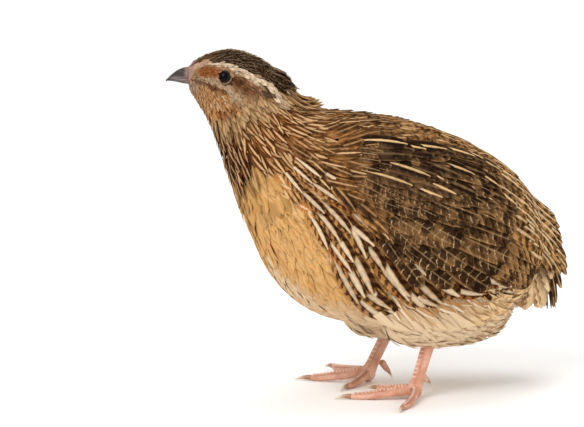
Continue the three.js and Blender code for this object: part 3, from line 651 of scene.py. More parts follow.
class CoatTree:
    """The Geometry Nodes tree that grows a vane along each feather's curve."""

    def __init__(self) -> None:
        """Builds the tree with its named inputs."""
        self.group = bpy.data.node_groups.new("coat", "GeometryNodeTree")
        face = self.group.interface
        self.sockets = {}
        for name, kind, default in (
                ("Roots", "NodeSocketGeometry", None), ("Vane", "NodeSocketObject", None),
                ("Camber", "NodeSocketFloat", 0.2), ("Thickness", "NodeSocketFloat", 0.00016),
                ("Patch", "NodeSocketFloat", 0.004), ("Finish", "NodeSocketMaterial", None)):
            socket = face.new_socket(name=name, in_out="INPUT", socket_type=kind)
            if default is not None:
                socket.default_value = default
            self.sockets[name] = socket.identifier
        face.new_socket(name="Coat", in_out="OUTPUT", socket_type="NodeSocketGeometry")
        self._build()

    def _build(self) -> None:
        """Instances the vane, realizes it and bends it along its curve."""
        nodes = Nodes(self.group)
        source = nodes.add("NodeGroupInput")
        given = {name: Wire(self.group, source.socket.node.outputs[name]) for name in self.sockets}

        def named(name: str, kind: str = "FLOAT_VECTOR") -> Wire:
            """A named attribute of the coat."""
            return nodes.add("GeometryNodeInputNamedAttribute", {"data_type": kind}, {"Name": name})

        info = nodes.add("GeometryNodeObjectInfo", None, {"Object": given["Vane"]}, "Geometry")
        grown = nodes.add(
            "GeometryNodeInstanceOnPoints", None, {"Points": given["Roots"], "Instance": info})
        real = nodes.add("GeometryNodeRealizeInstances", None, {"Geometry": grown})
        along, across, level = nodes.split(named("vane"))
        rest = 1.0 - along
        start, bend, finish = named("start"), named("bend"), named("finish")
        middle = (
            start.scaled(rest * rest) + bend.scaled(along * rest * 2.0)) + finish.scaled(along * along)
        ahead = (bend - start).scaled(rest) + (finish - bend).scaled(along)
        lean = named("rise_start").scaled(rest) + named("rise_finish").scaled(along)
        side = lean.cross(ahead).unit()
        rise = ahead.cross(side).unit()
        half = named("half", "FLOAT")
        crown = (1.0 - across * across) * given["Camber"] * half
        height = crown + level * given["Thickness"]
        place = (middle + side.scaled(across * half)) + rise.scaled(height)
        moved = nodes.add("GeometryNodeSetPosition", None, {"Geometry": real, "Position": place})
        spot = nodes.add("ShaderNodeCombineXYZ", None, {0: across * 0.5, 1: along - 0.5})
        chart = named("patch") + spot.scaled(given["Patch"])
        settings = {"data_type": "FLOAT2", "domain": "CORNER"}
        mapped = nodes.add(
            "GeometryNodeStoreNamedAttribute", settings,
            {"Geometry": moved, "Name": "OFBake", "Value": chart})
        dressed = nodes.add(
            "GeometryNodeSetMaterial", None, {"Geometry": mapped, "Material": given["Finish"]})
        nodes.add("NodeGroupOutput", None, {"Coat": dressed})

    def grow(self, name: str, feathers: Feathers, shape: VaneShape, finish: bpy.types.Material,
             camber: float, thickness: float) -> bpy.types.Object:
        """One coat piece as a plain mesh.

        Args:
            name: The piece's name.
            feathers: Its feathers.
            shape: Their outline.
            finish: Their material.
            camber: How far a vane's middle rises over its edges, as a share of its half width.
            thickness: A vane's thickness, in metres.

        Returns:
            The finished piece.
        """
        mesh = bpy.data.meshes.new(name + "_roots")
        mesh.from_pydata([tuple(p) for p in feathers.start], [], [])
        for layer in ("start", "bend", "finish", "rise_start", "rise_finish", "traits", "patch"):
            store(mesh, layer, "FLOAT_VECTOR", getattr(feathers, layer))
        for layer in ("half", "seed"):
            store(mesh, layer, "FLOAT", getattr(feathers, layer))
        store(mesh, "ground", "FLOAT_COLOR", opaque(feathers.ground))
        holder = bpy.data.objects.new(name + "_roots", mesh)
        bpy.context.scene.collection.objects.link(holder)
        vane = shape.template()
        bpy.context.scene.collection.objects.link(vane)
        modifier = holder.modifiers.new("Coat", "NODES")
        modifier.node_group = self.group
        for label, value in (
                ("Vane", vane), ("Finish", finish), ("Camber", camber), ("Thickness", thickness)):
            modifier[self.sockets[label]] = value
        result = evaluated(holder)
        holder.modifiers.remove(modifier)
        for helper in (holder, vane):
            bpy.data.objects.remove(helper)
        for spare in ("start", "bend", "finish", "rise_start", "rise_finish", "patch", "half"):
            if spare in result.attributes:
                result.attributes.remove(result.attributes[spare])
        return finished(name, result)


def finished(name: str, mesh: bpy.types.Mesh) -> bpy.types.Object:
    """An object of a finished mesh, linked and at the origin."""
    mesh.name = name
    piece = bpy.data.objects.new(name, mesh)
    bpy.context.scene.collection.objects.link(piece)
    return piece


def settle(piece: bpy.types.Object, slot: str, *nodes: str) -> bpy.types.Object:
    """Makes a piece ride on the bird and stand for its solids."""
    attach(piece, BODY)
    if nodes:
        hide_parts(*nodes)
    triangles = sum(len(p.vertices) - 2 for p in piece.data.polygons)
    LOG.info("%s: %d triangles", piece.name, triangles)
    return piece


def flat(station: Array, angle: Array) -> Array:
    """No height over the form."""
    return 0 * station


@dataclass
class SkinMap:
    """Finds the body's station and angle nearest to any point."""

    stations: Array = field(default_factory=lambda: np.linspace(0, 14, 141))
    angles: Array = field(default_factory=lambda: np.arange(-180, 180, 3.0))

    def __post_init__(self) -> None:
        """Lays a grid over the body."""
        along, around = np.meshgrid(self.stations, self.angles, indexing="ij")
        self.along, self.around = along.ravel(), around.ravel()
        self.points = FORM.point(self.along, self.around)
        self.normals = FORM.normal(np.clip(self.along, 0.05, 13.95), self.around)
        self.tree = KDTree(len(self.points))
        for index, point in enumerate(self.points):
            self.tree.insert(point, index)
        self.tree.balance()

    def nearest(self, points: Array) -> Array:
        """Numbers of the grid places nearest to these points, in millimetres."""
        return np.array([self.tree.find(point)[1] for point in points])

    def height(self, points: Array) -> Array:
        """Rough height of points over the body, in millimetres."""
        found = self.nearest(points)
        return np.einsum("ij,ij->i", points - self.points[found], self.normals[found])

    def chart(self, points: Array) -> Array:
        """Places of points on the unwrap of the body."""
        found = self.nearest(points)
        return unwrapped(self.along[found], self.around[found])


SKIN_MAP = SkinMap()


def unwrapped(station: Array, angle: Array) -> Array:
    """Places on the unwrap of the body, as the coat's chart coordinates."""
    return np.stack([angle / 360 + 0.5, (station + 1) / 16, 0 * angle], -1)


def lay(form: Form, station: Array, angle: Array, length: Array, half: Array, lift: tuple,
        paint: Callable, draws: np.random.Generator, height: Callable = flat, tilt: float = 0.0,
        ruffle: float = 0.2) -> Feathers:
    """Lays a feather over a form from each root, along the coat's lie.

    Args:
        form: The surface.
        station: Root places along it.
        angle: Root places round it.
        length: Lengths, in millimetres.
        half: Half widths, in millimetres.
        lift: Heights over the surface at root, middle and tip.
        paint: Gives ground colours and traits for stations and angles.
        draws: Seeded random source.
        height: Extra height of the bed by station and angle.
        tilt: How far each vane leans over the next one below it.
        ruffle: How far feathers stray from the lie, in radians.

    Returns:
        The feathers, in metres in the shared frame.
    """
    count = len(station)
    length = length * draws.uniform(0.88, 1.12, count)
    half = half * draws.uniform(0.9, 1.1, count)
    stray = draws.normal(0, ruffle, count)
    places = [(station, angle)]
    for _ in range(4):
        here, around = places[-1]
        along_step, round_step = form.slopes(here, around)
        bearing = form.turn(here, around)
        ahead = -along_step + round_step * bearing[:, None]
        speed = np.linalg.norm(ahead, axis=1)
        step = length / 4 / speed
        drift = stray * length / 4 / np.linalg.norm(round_step, axis=1)
        places.append((here - step, around + bearing * step + drift))
    tip_lift = lift[2] + draws.uniform(-0.3, 0.4, count) * (lift[2] > 0)
    spots = []
    for (here, around), rise in zip((places[0], places[2], places[4]), (lift[0], lift[1], tip_lift)):
        spots.append(form.point(here, around, height(here, around) + rise))
    bend = 2 * spots[1] - (spots[0] + spots[2]) / 2
    rises = []
    for here, around in (places[0], places[4]):
        below = form.slopes(here, around)[1] * np.sign(around)[:, None]
        rises.append(unit(form.normal(here, around) - tilt * unit(below)))
    wander = draws.normal(0, 0.05, (2, count))
    seen, seen_round = places[3]
    ground, traits = paint(seen + wander[0], np.abs(seen_round) + wander[1] * 25)
    chart = unwrapped(station, angle) if form is FORM else SKIN_MAP.chart(spots[0])
    return Feathers(
        placed(spots[0]), placed(bend), placed(spots[2]), rises[0], rises[1], half * MM, ground, traits,
        draws.uniform(0, 1, count), chart)


Pairs = tuple[tuple[float, float], ...]


def along_bird(pairs: Pairs, station: Array) -> Array:
    """A size that changes along the bird, from (station, millimetres) pairs."""
    return np.interp(station, *zip(*pairs))


def between(low: float, high: float, margin: float | None = None) -> Callable[[Array, Array], Array]:
    """A test that keeps roots between two angles and, with a margin in degrees, off the folded wing."""
    def keep(station: Array, angle: Array) -> Array:
        """Which roots are kept."""
        around = np.abs(angle)
        kept = (around > low) & (around < high)
        return kept if margin is None else kept & (WING.cover(station, angle, margin) < 0.5)

    return keep


@dataclass(frozen=True)
class Bed:
    """Where one tract of the coat grows and how its feathers lie, in millimetres."""

    first: float
    last: float
    keep: Callable[[Array, Array], Array]
    pitch: Pairs
    length: Pairs
    half: Pairs
    lift: tuple[float, float, float] = (-1.7, -0.1, 0.5)
    ruffle: float = 0.25
    seed: int = 1
    tilt: float = 0.0
    form: Form = FORM
    girth_angle: float = 60.0
    height: Callable[[Array, Array], Array] = flat
    stride: float = 0.95

    def roots(self, draws: np.random.Generator) -> tuple[Array, Array]:
        """Roots in staggered rows round the form, evenly spaced along each row."""
        stations, angles = [], []
        station, row = self.first, 0
        while station > self.last:
            ring = np.linspace(-180, 180, 241)
            girth = np.linalg.norm(np.diff(self.form.point(station, ring), axis=0), axis=1)
            travelled = np.concatenate([[0], np.cumsum(girth)])
            pitch = float(along_bird(self.pitch, station))
            count = max(6, int(travelled[-1] / pitch))
            spots = (np.arange(count) + 0.5 * (row % 2) + draws.normal(0, 0.14, count)) / count
            around = np.interp(spots * travelled[-1], travelled, ring)
            slope = self.form.slopes(np.array(station), np.array(self.girth_angle))[0]
            gap = pitch * self.stride / np.linalg.norm(slope)
            stations.append(station + draws.normal(0, 0.16, count) * gap)
            angles.append(around)
            station, row = station - gap, row + 1
        return np.concatenate(stations), np.concatenate(angles)

    def feathers(self, paint: Callable | None = None) -> Feathers:
        """Feathers that follow the coat's lie from each kept root."""
        draws = np.random.default_rng(self.seed)
        station, angle = self.roots(draws)
        kept = self.keep(station, angle)
        station, angle = station[kept], angle[kept]
        length, half = along_bird(self.length, station), along_bird(self.half, station)
        return lay(
            self.form, station, angle, length, half, self.lift, paint or MARKINGS.sample, draws,
            self.height, self.tilt, self.ruffle)


def wing_zones() -> tuple[Zone, ...]:
    """Markings of the folded wing."""
    wide = (0.3, 10.0)
    return (
        Zone("wing", ((0, 0, 180), (8, 0, 180)), srgb(112, 80, 50), 0.3, 0.25, 0.9),
        Zone("rear", ((1, 40, 120), (3.2, 45, 115)), srgb(158, 116, 72), 0.45, 0.35, 1.0, wide),
        Zone("lower", ((3.2, 82, 120), (5.4, 66, 112)), srgb(70, 49, 31), 0.3, 0.3, 1.0, wide),
        Zone("scapular", ((3.9, 26, 56), (5.9, 30, 62)), srgb(62, 43, 29), 0.25, 0.85, 0.5, wide),
        Zone("tertial", ((3.0, 38, 82), (4.2, 38, 76)), srgb(104, 78, 50), 0.3, 1.0, 0.7, wide),
        Zone("shoulder", ((5.7, 30, 100), (7.2, 30, 100)), srgb(134, 94, 56), 0.7, 0.55, 0.4, wide),)


WING_MARKINGS = Markings(wing_zones())


@dataclass(frozen=True)
class WingForm:
    """The folded wing's outline on the body, as (station, upper angle, lower angle), and its height."""

    edges: tuple = (
        (6.75, 52, 58), (6.2, 38, 74), (5.5, 31, 88), (4.5, 27, 101), (3.5, 27, 110), (2.5, 33, 114),
        (1.7, 47, 110), (1.25, 66, 98))
    thickness: float = 2.9
    rim: float = 1.2

    def height(self, station: Array, angle: Array) -> Array:
        """Height of the folded wing over the body, thickest in its middle."""
        shares = np.linspace(0, 1, 161)
        rows = catmull_rom(np.array(self.edges, float), shares * (len(self.edges) - 1))[::-1]
        along = np.interp(station, rows[:, 0], shares[::-1])
        upper = np.interp(station, rows[:, 0], rows[:, 1])
        lower = np.interp(station, rows[:, 0], rows[:, 2])
        across = np.clip((np.abs(angle) - upper) / (lower - upper), 0, 1)
        swell = np.sqrt(np.maximum(np.sin(np.pi * across) * np.sin(np.pi * along**0.8), 0))
        inside = (station < rows[-1, 0]) & (station > rows[0, 0])
        return self.rim + (self.thickness - self.rim) * np.where(inside, swell, 0)

    def cover(self, station: Array, angle: Array, margin: float = 0.0, soft: float = 0.1) -> Array:
        """How far the wing covers a place, from 0 to 1, short of its edges by a margin in degrees."""
        rows = np.array(self.edges, float)[::-1]
        upper = np.interp(station, rows[:, 0], rows[:, 1]) + margin
        lower = np.interp(station, rows[:, 0], rows[:, 2]) - margin
        around = np.abs(angle)
        ends = smoothstep(station, rows[0, 0], rows[0, 0] + 0.4) * (1 - smoothstep(station, 6.3, 6.75))
        return smoothstep(around, upper - soft, upper + soft) * (
            1 - smoothstep(around, lower - soft, lower + soft)) * ends


WING = WingForm()


@dataclass(frozen=True)
class Tier:
    """Rows of wing feathers between a first and a last root, each given as station and angle."""

    name: str
    count: int
    first: tuple[float, float]
    last: tuple[float, float]
    length: float
    half: float
    lift: tuple[float, float, float]
    rows: int = 1
    row_step: tuple[float, float] = (-0.4, 0.0)
    tilt: float = 0.25
    # Every so many feathers has a bold shaft streak, if this isn't 0
    streaked: int = 0

    def feathers(self, mirror: float, seed: int) -> Feathers:
        """The tier's feathers on one side of the bird."""
        draws = np.random.default_rng(seed)
        groups = []
        for row in range(self.rows):
            share = (np.arange(self.count) + 0.5 * (row % 2)) / (self.count - 0.5)
            station = self.first[0] + (self.last[0] - self.first[0]) * share + self.row_step[0] * row
            angle = self.first[1] + (self.last[1] - self.first[1]) * share + self.row_step[1] * row
            station = station + draws.normal(0, 0.05, self.count)
            angle = (angle + draws.normal(0, 0.8, self.count)) * mirror
            sizes = np.ones(self.count)
            group = lay(
                FORM, station, angle, sizes * self.length, sizes * self.half, self.lift,
                WING_MARKINGS.sample, draws, WING.height, self.tilt, 0.1)
            if self.streaked:
                bold = (np.arange(self.count) + row) % self.streaked == 0
                group.traits[:, 0] = np.where(bold, 1.0, 0.12)
            groups.append(group)
        return Feathers.joined(groups)


# Laid from the tail forward, so that each tier covers the roots of the one behind it
FLIGHT = (
    Tier("primaries", 8, (2.95, 86), (3.3, 107), 30, 3.2, (-1.0, 0.2, 0.5)),
    Tier("secondaries", 10, (3.7, 40), (4.1, 99), 30, 4.6, (-0.9, 0.5, 1.0), tilt=0.2),
    Tier("tertials", 7, (4.35, 36), (4.5, 70), 29, 4.8, (-0.6, 1.1, 1.7), tilt=0.2),)
COVERTS = (
    Tier("greater coverts", 10, (4.9, 42), (5.05, 97), 22, 4.1, (-0.8, 0.9, 1.5), 2, (-0.5, 2.0), 0.2),
    Tier("median coverts", 10, (5.45, 44), (5.35, 91), 16, 3.6, (-0.8, 0.9, 1.5), 2, (-0.35, 1.5), 0.15),
    Tier("lesser coverts", 9, (6.45, 47), (6.2, 74), 11, 2.6, (-0.8, 0.6, 1.3), 4, (-0.24, 1.0), 0.1),)
SCAPULARS = (
    Tier("scapulars", 9, (6.35, 44), (3.5, 33), 21, 3.6, (0.0, 1.7, 2.3), 3, (-0.12, 9.5), 0.1,
        streaked=2),)


@dataclass(frozen=True)
class ThighForm(Form):
    """A thigh's round form, with station 1 at its front and -1 at its back."""

    x: float
    bottom: float
    front: float = -15
    back: float = 39
    top: float = 45
    half: float = 10.2
    power: float = 2.5

    def point(self, station: Array, angle: Array, grow: Array | float = 0.0) -> Array:
        """Places on the thigh, in millimetres."""
        station, angle, grow = np.broadcast_arrays(np.asarray(station, float), angle, grow)
        swell = np.maximum(1 - np.abs(station) ** self.power, 0.002) ** (1 / self.power)
        y = (self.front + self.back) / 2 - (self.back - self.front + 2 * grow) / 2 * station
        x = self.x + (self.half * swell + grow) * np.sin(np.radians(angle))
        tall = (self.top - self.bottom) / 2 * swell + grow
        return np.stack([x, y, (self.top + self.bottom) / 2 + tall * np.cos(np.radians(angle))], -1)


THIGHS = (ThighForm(17.5, 19.4), ThighForm(-17.5, 17.0))


class ThighRise:
    """How far the thighs stand out of the body, so the belly's feathers can run over them."""

    most: float = 7.0

    def __init__(self) -> None:
        """Measures the thighs against the body and smooths the result."""
        station, angle = np.meshgrid(np.linspace(-0.99, 0.99, 90), np.linspace(-180, 180, 145))
        top = np.zeros(len(SKIN_MAP.points))
        for form in THIGHS:
            points = form.point(station.ravel(), angle.ravel())
            found = SKIN_MAP.nearest(points)
            rise = np.einsum("ij,ij->i", points - SKIN_MAP.points[found], SKIN_MAP.normals[found])
            np.maximum.at(top, found, np.clip(rise, 0, self.most))
        grid = top.reshape(len(SKIN_MAP.stations), len(SKIN_MAP.angles))
        steps = [(i, j) for i in (-1, 0, 1) for j in (-1, 0, 1)]
        grid = np.max([np.roll(grid, step, (0, 1)) for step in steps], 0)
        for _ in range(2):
            grid = np.mean([np.roll(grid, step, (0, 1)) for step in steps], 0)
        self.grid = grid

    def height(self, station: Array, angle: Array) -> Array:
        """Height of the thighs over the body, in millimetres."""
        row = np.clip(np.rint(station * 10).astype(int), 0, len(SKIN_MAP.stations) - 1)
        column = np.rint((angle + 180) / 3).astype(int) % len(SKIN_MAP.angles)
        return self.grid[row, column] * (1 - smoothstep(np.abs(angle), 142, 156))


THIGH_RISE = ThighRise()


@dataclass(frozen=True)
class EyePlan:
    """Where an eye sits in the head, in millimetres and degrees."""

    station: float = 11.25
    angle: float = 86
    radius: float = 3.3
    sink: float = 2.45
    lid_radius: float = 2.75

    def centre(self, mirror: float) -> tuple[Array, Array]:
        """The eye's middle and the direction it looks in."""
        place = (np.array(self.station), np.array(self.angle * mirror))
        look = FORM.normal(*place)
        return FORM.point(*place) - look * self.sink, look


EYE = EyePlan()


# Pale silky down of the belly and the thighs
DOWN = {
    "dark": srgb(170, 130, 88), "streak": srgb(238, 220, 192), "bar": srgb(158, 118, 76), "fringe": CREAM,
    "streak_half": 0.3, "mottle": 0.2, "shaft": 0.1, "fringe_share": 0.4, "vary": 0.08, "bars": 1.4}
# Camber and thickness of the down's vanes
SILK = (0.05, 0.00004)
RUMP_GOLD = srgb(206, 150, 90)
# Rows that bridge the rump and the tail: station, spread in degrees, count, tip and drop
RUMP_ROWS = (
    (2.6, 86, 19, (20, 61, 66), 22), (2.2, 86, 19, (19, 64, 66), 22), (1.8, 84, 17, (18, 66, 65), 20),
    (1.5, 76, 15, (16.5, 67, 62), 16), (1.2, 70, 15, (15.5, 68, 57), 12),
    (0.85, 66, 13, (14.5, 68.6, 50), 8), (0.5, 66, 11, (13, 67, 42), 5),)
# Rows of down under the tail: station, first angle, count and tip
VENT_ROWS = (
    (1.1, 126, 15, (14.5, 60.5, 28)), (1.3, 136, 11, (11, 54.5, 27.4)), (0.8, 116, 15, (16.5, 62, 34)),
    (0.7, 106, 13, (16.5, 62, 39)),)


@dataclass
class Coat:
    """The whole plumage, one piece for each tract."""

    tree: CoatTree = field(default_factory=CoatTree)

    def build(self) -> None:
        """Grows every tract."""
        for tract in (self.head, self.neck, self.breast, self.belly, self.back, self.rump):
            tract()
        for side, mirror in SIDES:
            self.flank(side, mirror)
            self.wing(side, mirror)
        self.thighs()
        self.tail()

    def _grow(self, name: str, groups: Sequence[Feathers], shape: VaneShape, finish: FeatherFinish,
              vane: tuple[float, float], slot: str, *nodes: str) -> None:
        """Grows one piece and settles it.

        Args:
            name: The piece's name.
            groups: Its feathers.
            shape: Their outline.
            finish: How they are painted.
            vane: Their camber, as a share of the half width, and thickness, in metres.
            slot: Not used.
            nodes: The solids that it stands for.
        """
        feathers = Feathers.joined(groups)
        settle(self.tree.grow(name, feathers, shape, finish.material(), *vane), slot, *nodes)

    def head(self) -> None:
        """Short close feathers of the head, and the crest behind the crown."""
        bed = Bed(
            13.8, 10.0, self._off_bare_skin, ((10, 1.35), (12, 1.0), (13.8, 0.75)),
            ((10, 4.8), (11, 4.0), (12, 3.1), (13, 2.2), (13.8, 1.5)),
            ((10, 0.95), (12, 0.62), (13.8, 0.38)), (-0.9, -0.15, 0.3), 0.2, 11)
        crest = Bed(
            10.5, 9.7, between(-1, 40), ((9, 1.6), (11, 1.4)), ((9, 5.6), (11, 5.2)),
            ((9, 1.0), (11, 0.9)), (-0.8, 0.8, 1.7), 0.25, 12)
        finish = FeatherFinish(
            "head feathers", bar=srgb(142, 102, 64), streak_half=0.3, dark_reach=0.8, fringe_share=0.1,
            scatter=0.9, vary=0.25)
        self._grow(
            "coat_head", [bed.feathers(), crest.feathers()], VaneShape.SOFT, finish, (0.2, 0.00012),
            "head_feathers", "head")

    @staticmethod
    def _off_bare_skin(station: Array, angle: Array) -> Array:
        """Keeps feathers off the eyes, their lids and the bare skin beside the bill."""
        keep = (station < 13.3) | (np.abs(angle) < 30)
        for _, mirror in SIDES:
            centre = FORM.point(np.array(EYE.station), np.array(EYE.angle * mirror))
            for back in (0.0, 0.12, 0.24):
                gap = np.linalg.norm(FORM.point(station - back, angle) - centre, axis=1)
                keep &= gap > EYE.lid_radius + 0.3
        return keep

    def neck(self) -> None:
        """Pointed neck feathers with pale shafts, and the nape's tufts."""
        bed = Bed(
            10.1, 7.7, between(-1, 181), ((7.7, 2.9), (9, 2.0), (10, 1.6)),
            ((7.7, 11), (9, 7.5), (10.1, 5.5)), ((7.7, 1.9), (9, 1.35), (10.1, 1.05)), (-1.6, -0.1, 0.3),
            0.22, 21, stride=1.2)
        tufts = Bed(
            9.25, 8.5, between(-1, 34), ((8, 2.6),), ((8, 11), (9, 9)), ((8, 1.5), (9, 1.3)),
            (-1.0, 1.3, 3.2), 0.35, 22)
        finish = FeatherFinish(
            "neck feathers", streak=srgb(210, 172, 126), dark=srgb(58, 26, 10), streak_half=0.25,
            dark_reach=0.75, fringe=srgb(176, 122, 68), fringe_share=0.4, web=0.25, scatter=0.55,
            mottle=0.6)
        self._grow(
            "coat_neck", [bed.feathers(), tufts.feathers()], VaneShape.LANCE, finish, (0.25, 0.00014),
            "breast_feathers", "neck")

    def breast(self) -> None:
        """Soft breast feathers."""
        bed = Bed(
            8.0, 4.6, between(84, 181, 8), ((4.6, 2.3), (8, 2.0)), ((4.6, 11), (8, 9.5)),
            ((4.6, 2.1), (8, 1.7)), (-1.6, -0.2, 0.0), 0.25, 31)
        finish = FeatherFinish(
            "breast feathers", dark=srgb(186, 118, 54), blotch=0.35, streak=srgb(224, 190, 146),
            fringe=srgb(228, 200, 160), streak_half=0.25, mottle=0.5, vary=0.2)
        self._grow("coat_breast", [bed.feathers()], VaneShape.LANCE, finish, SILK, "breast_feathers")

    def belly(self) -> None:
        """Downy belly feathers, back to the vent, with wisps at the rear."""
        def keep(station: Array, angle: Array) -> Array:
            """Whether a root lies on the belly and clear of the thighs' own down."""
            return between(104, 181, 8)(station, angle) & (THIGH_RISE.height(station, angle) < 4.5)

        def paint(station: Array, angle: Array) -> tuple[Array, Array]:
            """The belly's own markings, also where its feathers run up over a thigh."""
            on_thigh = smoothstep(THIGH_RISE.height(station, angle), 0.5, 3)
            return MARKINGS.sample(station, angle + np.maximum(126 - angle, 0) * on_thigh * 0.8)

        bed = Bed(
            4.9, 0.5, keep, ((0.5, 1.8), (4.7, 2.3)), ((0.5, 8), (2, 13), (4.9, 15)),
            ((0.5, 1.4), (4.7, 2.1)), (-1.6, -0.1, 0.0), 0.2, 41, height=THIGH_RISE.height)
        wisps = Bed(
            2.4, 0.4, keep, ((0, 3.2), (3, 3.6)), ((0, 9),), ((0, 1.1),), (-1.0, 0.4, 1.3), 0.4, 42,
            height=THIGH_RISE.height)
        self._grow(
            "coat_belly", [bed.feathers(paint), wisps.feathers(paint)], VaneShape.LANCE,
            FeatherFinish("belly feathers", **DOWN), SILK, "belly_feathers")

    def back(self) -> None:
        """Mantle and back between the wings."""
        def height(station: Array, angle: Array) -> Array:
            """Rise of the coat toward the scapulars, so that no gap opens under their inner edge."""
            return WING.cover(station - 0.4, angle, -13.0, 8.0) * 2.1

        bed = Bed(
            8.1, 1.0, between(-1, 86, 9), ((1, 2.6), (3, 3.6), (8, 3.2)),
            ((1, 13), (4, 16), (6.5, 16), (8, 11)), ((1, 2.4), (4, 3.2), (6.5, 2.9), (8, 2.0)),
            (-1.8, -0.1, 0.9), 0.2, 51, height=height, stride=1.4)
        finish = FeatherFinish(
            "back feathers", bar=srgb(38, 21, 11), streak=srgb(208, 172, 126), streak_half=0.12,
            dark_reach=0.7, bars=4.5, fringe=srgb(172, 122, 72), mottle=0.6, scatter=0.75, blotch=0.6)
        self._grow(
            "coat_back", [bed.feathers()], VaneShape.ROUND, finish, (0.25, 0.00016), "body_feathers",
            "torso")

    def rump(self) -> None:
        """Long rump feathers with golden shafts, over the wings' ends and down to the tail."""
        def keep(station: Array, angle: Array) -> Array:
            """Whether a root lies on the rump, which widens toward the tail."""
            return np.abs(angle) < np.interp(station, (0.4, 1.2, 2.4, 3.1, 4.0), (82, 88, 92, 78, 40))

        def height(station: Array, angle: Array) -> Array:
            """Height of the wings' ends under the rump feathers."""
            return WING.cover(station, angle, -2.0, 8.0) * WING.height(station, angle) * 0.9

        bed = Bed(
            4.0, 0.4, keep, ((0.6, 3.0), (3, 4.2)), ((0.6, 15), (2, 21), (4, 23)),
            ((0.6, 2.7), (3, 3.9), (4, 3.7)), (-0.6, 1.0, 1.4), 0.15, 55, height=height, stride=1.6)
        draws = np.random.default_rng(56)
        rows = [upper_coverts(*row, draws, RUMP_GOLD, (1.0, 0.5, 1.0)) for row in RUMP_ROWS]
        feathers = Feathers.joined([bed.feathers(), *rows])
        feathers.ground[:] = np.array(RUMP_GOLD) * draws.uniform(0.8, 1.15, (len(feathers), 1))
        feathers.traits[:] = (1.0, 0.5, 1.0)
        finish = FeatherFinish(
            "rump feathers", bar=srgb(34, 18, 9), streak=srgb(218, 188, 144), streak_half=0.13,
            dark_reach=0.5, bars=5, bar_share=0.5, fringe=srgb(190, 142, 88), mottle=0.6, scatter=0.35,
            blotch=0.5)
        self._grow("coat_rump", [feathers], VaneShape.ROUND, finish, (0.2, 0.00016), "body_feathers")

    def flank(self, side: str, mirror: float) -> None:
        """Long pointed flank plumes with bold pale shafts, some of them rufous."""
        zone = next(z for z in MARKINGS.zones if z.name == "flank")

        def keep(station: Array, angle: Array) -> Array:
            """Whether a root lies in the flank of this side, ahead of where its plume shows."""
            around = np.abs(angle)
            return (zone.weight(station - 0.35, around + 6) > 0.5) & (np.sign(angle) == mirror)

        bed = Bed(
            7.9, 3.3, keep, ((3, 5.0), (5.5, 5.2), (7.2, 3.2)),
            ((3, 22), (5.5, 27), (6.6, 21), (7.8, 14)), ((3, 3.5), (5.5, 4.4), (6.6, 3.2), (7.8, 2.1)),
            (-1.2, 0.7, 1.5), 0.12, 61, stride=1.9)
        plumes = bed.feathers()
        rufous = (plumes.seed > 0.6)[:, None] * 0.75
        plumes.ground[:] = blend(plumes.ground, srgb(156, 82, 38), rufous)
        plumes.traits[:] = (1.0, 0.95, 1.0)
        finish = FeatherFinish(
            "flank plumes " + side, dark=srgb(38, 14, 5), streak=srgb(216, 194, 162),
            bar=srgb(52, 26, 12), streak_half=0.25, dark_reach=0.56, bars=6, bar_bend=0.5, bar_share=0.5,
            fringe=srgb(206, 154, 92), fringe_share=0.35, patch_scale=3.0, web=0.35 * mirror, mottle=0.6,
            scatter=0.3)
        self._grow("plumes_" + side, [plumes], VaneShape.ROUND, finish, (0.22, 0.00018), "body_feathers")

    def wing(self, side: str, mirror: float) -> None:
        """The folded wing: flight feathers, coverts and scapulars."""
        flight = FeatherFinish(
            "flight feathers " + side, streak=srgb(184, 146, 98), streak_half=0.04, bar=srgb(52, 32, 18),
            bars=7, bar_share=0.5, line=srgb(200, 168, 126), shaft=0.15, line_share=0.75,
            fringe=srgb(176, 130, 82), fringe_share=0.45, dark_reach=0.5, web=0.5 * mirror, mottle=0.6,
            blotch=0.75)
        covert = FeatherFinish(
            "wing coverts " + side, streak=srgb(190, 156, 112), streak_half=0.04, bar=srgb(60, 40, 24),
            bars=6, bar_share=0.4, line=srgb(192, 162, 122), shaft=0.12, line_share=0.75,
            fringe=srgb(172, 126, 78), fringe_share=0.4, dark_reach=0.5, web=0.4 * mirror, mottle=0.6,
            blotch=0.8)
        scapular = FeatherFinish(
            "scapulars " + side, streak=srgb(216, 178, 126), streak_half=0.13, bar=srgb(40, 28, 20),
            bars=6, line=srgb(140, 112, 84), line_share=0.5, fringe=srgb(124, 92, 60), fringe_share=0.4,
            dark_reach=0.8, web=0.4 * mirror, mottle=0.6, blotch=0.5, scatter=0.25)
        seed = 71 if mirror > 0 else 171
        for name, tiers, shape, finish, nodes in (
                ("flight_" + side, FLIGHT, VaneShape.QUILL, flight, ("wing_" + side,)),
                ("wing_coverts_" + side, COVERTS, VaneShape.ROUND, covert, ()),
                ("scapulars_" + side, SCAPULARS, VaneShape.ROUND, scapular, ())):
            groups = [tier.feathers(mirror, seed + i) for i, tier in enumerate(tiers)]
            self._grow(name, groups, shape, finish, (0.16, 0.0002), "wing_feathers", *nodes)

    def thighs(self) -> None:
        """Down and wisps over the thighs, where they stand out of the belly."""
        groups = []
        for seed, form in enumerate(THIGHS):
            def keep(station: Array, angle: Array) -> Array:
                """Whether a root lies outside the body."""
                return SKIN_MAP.height(form.point(station, angle)) > -1.2

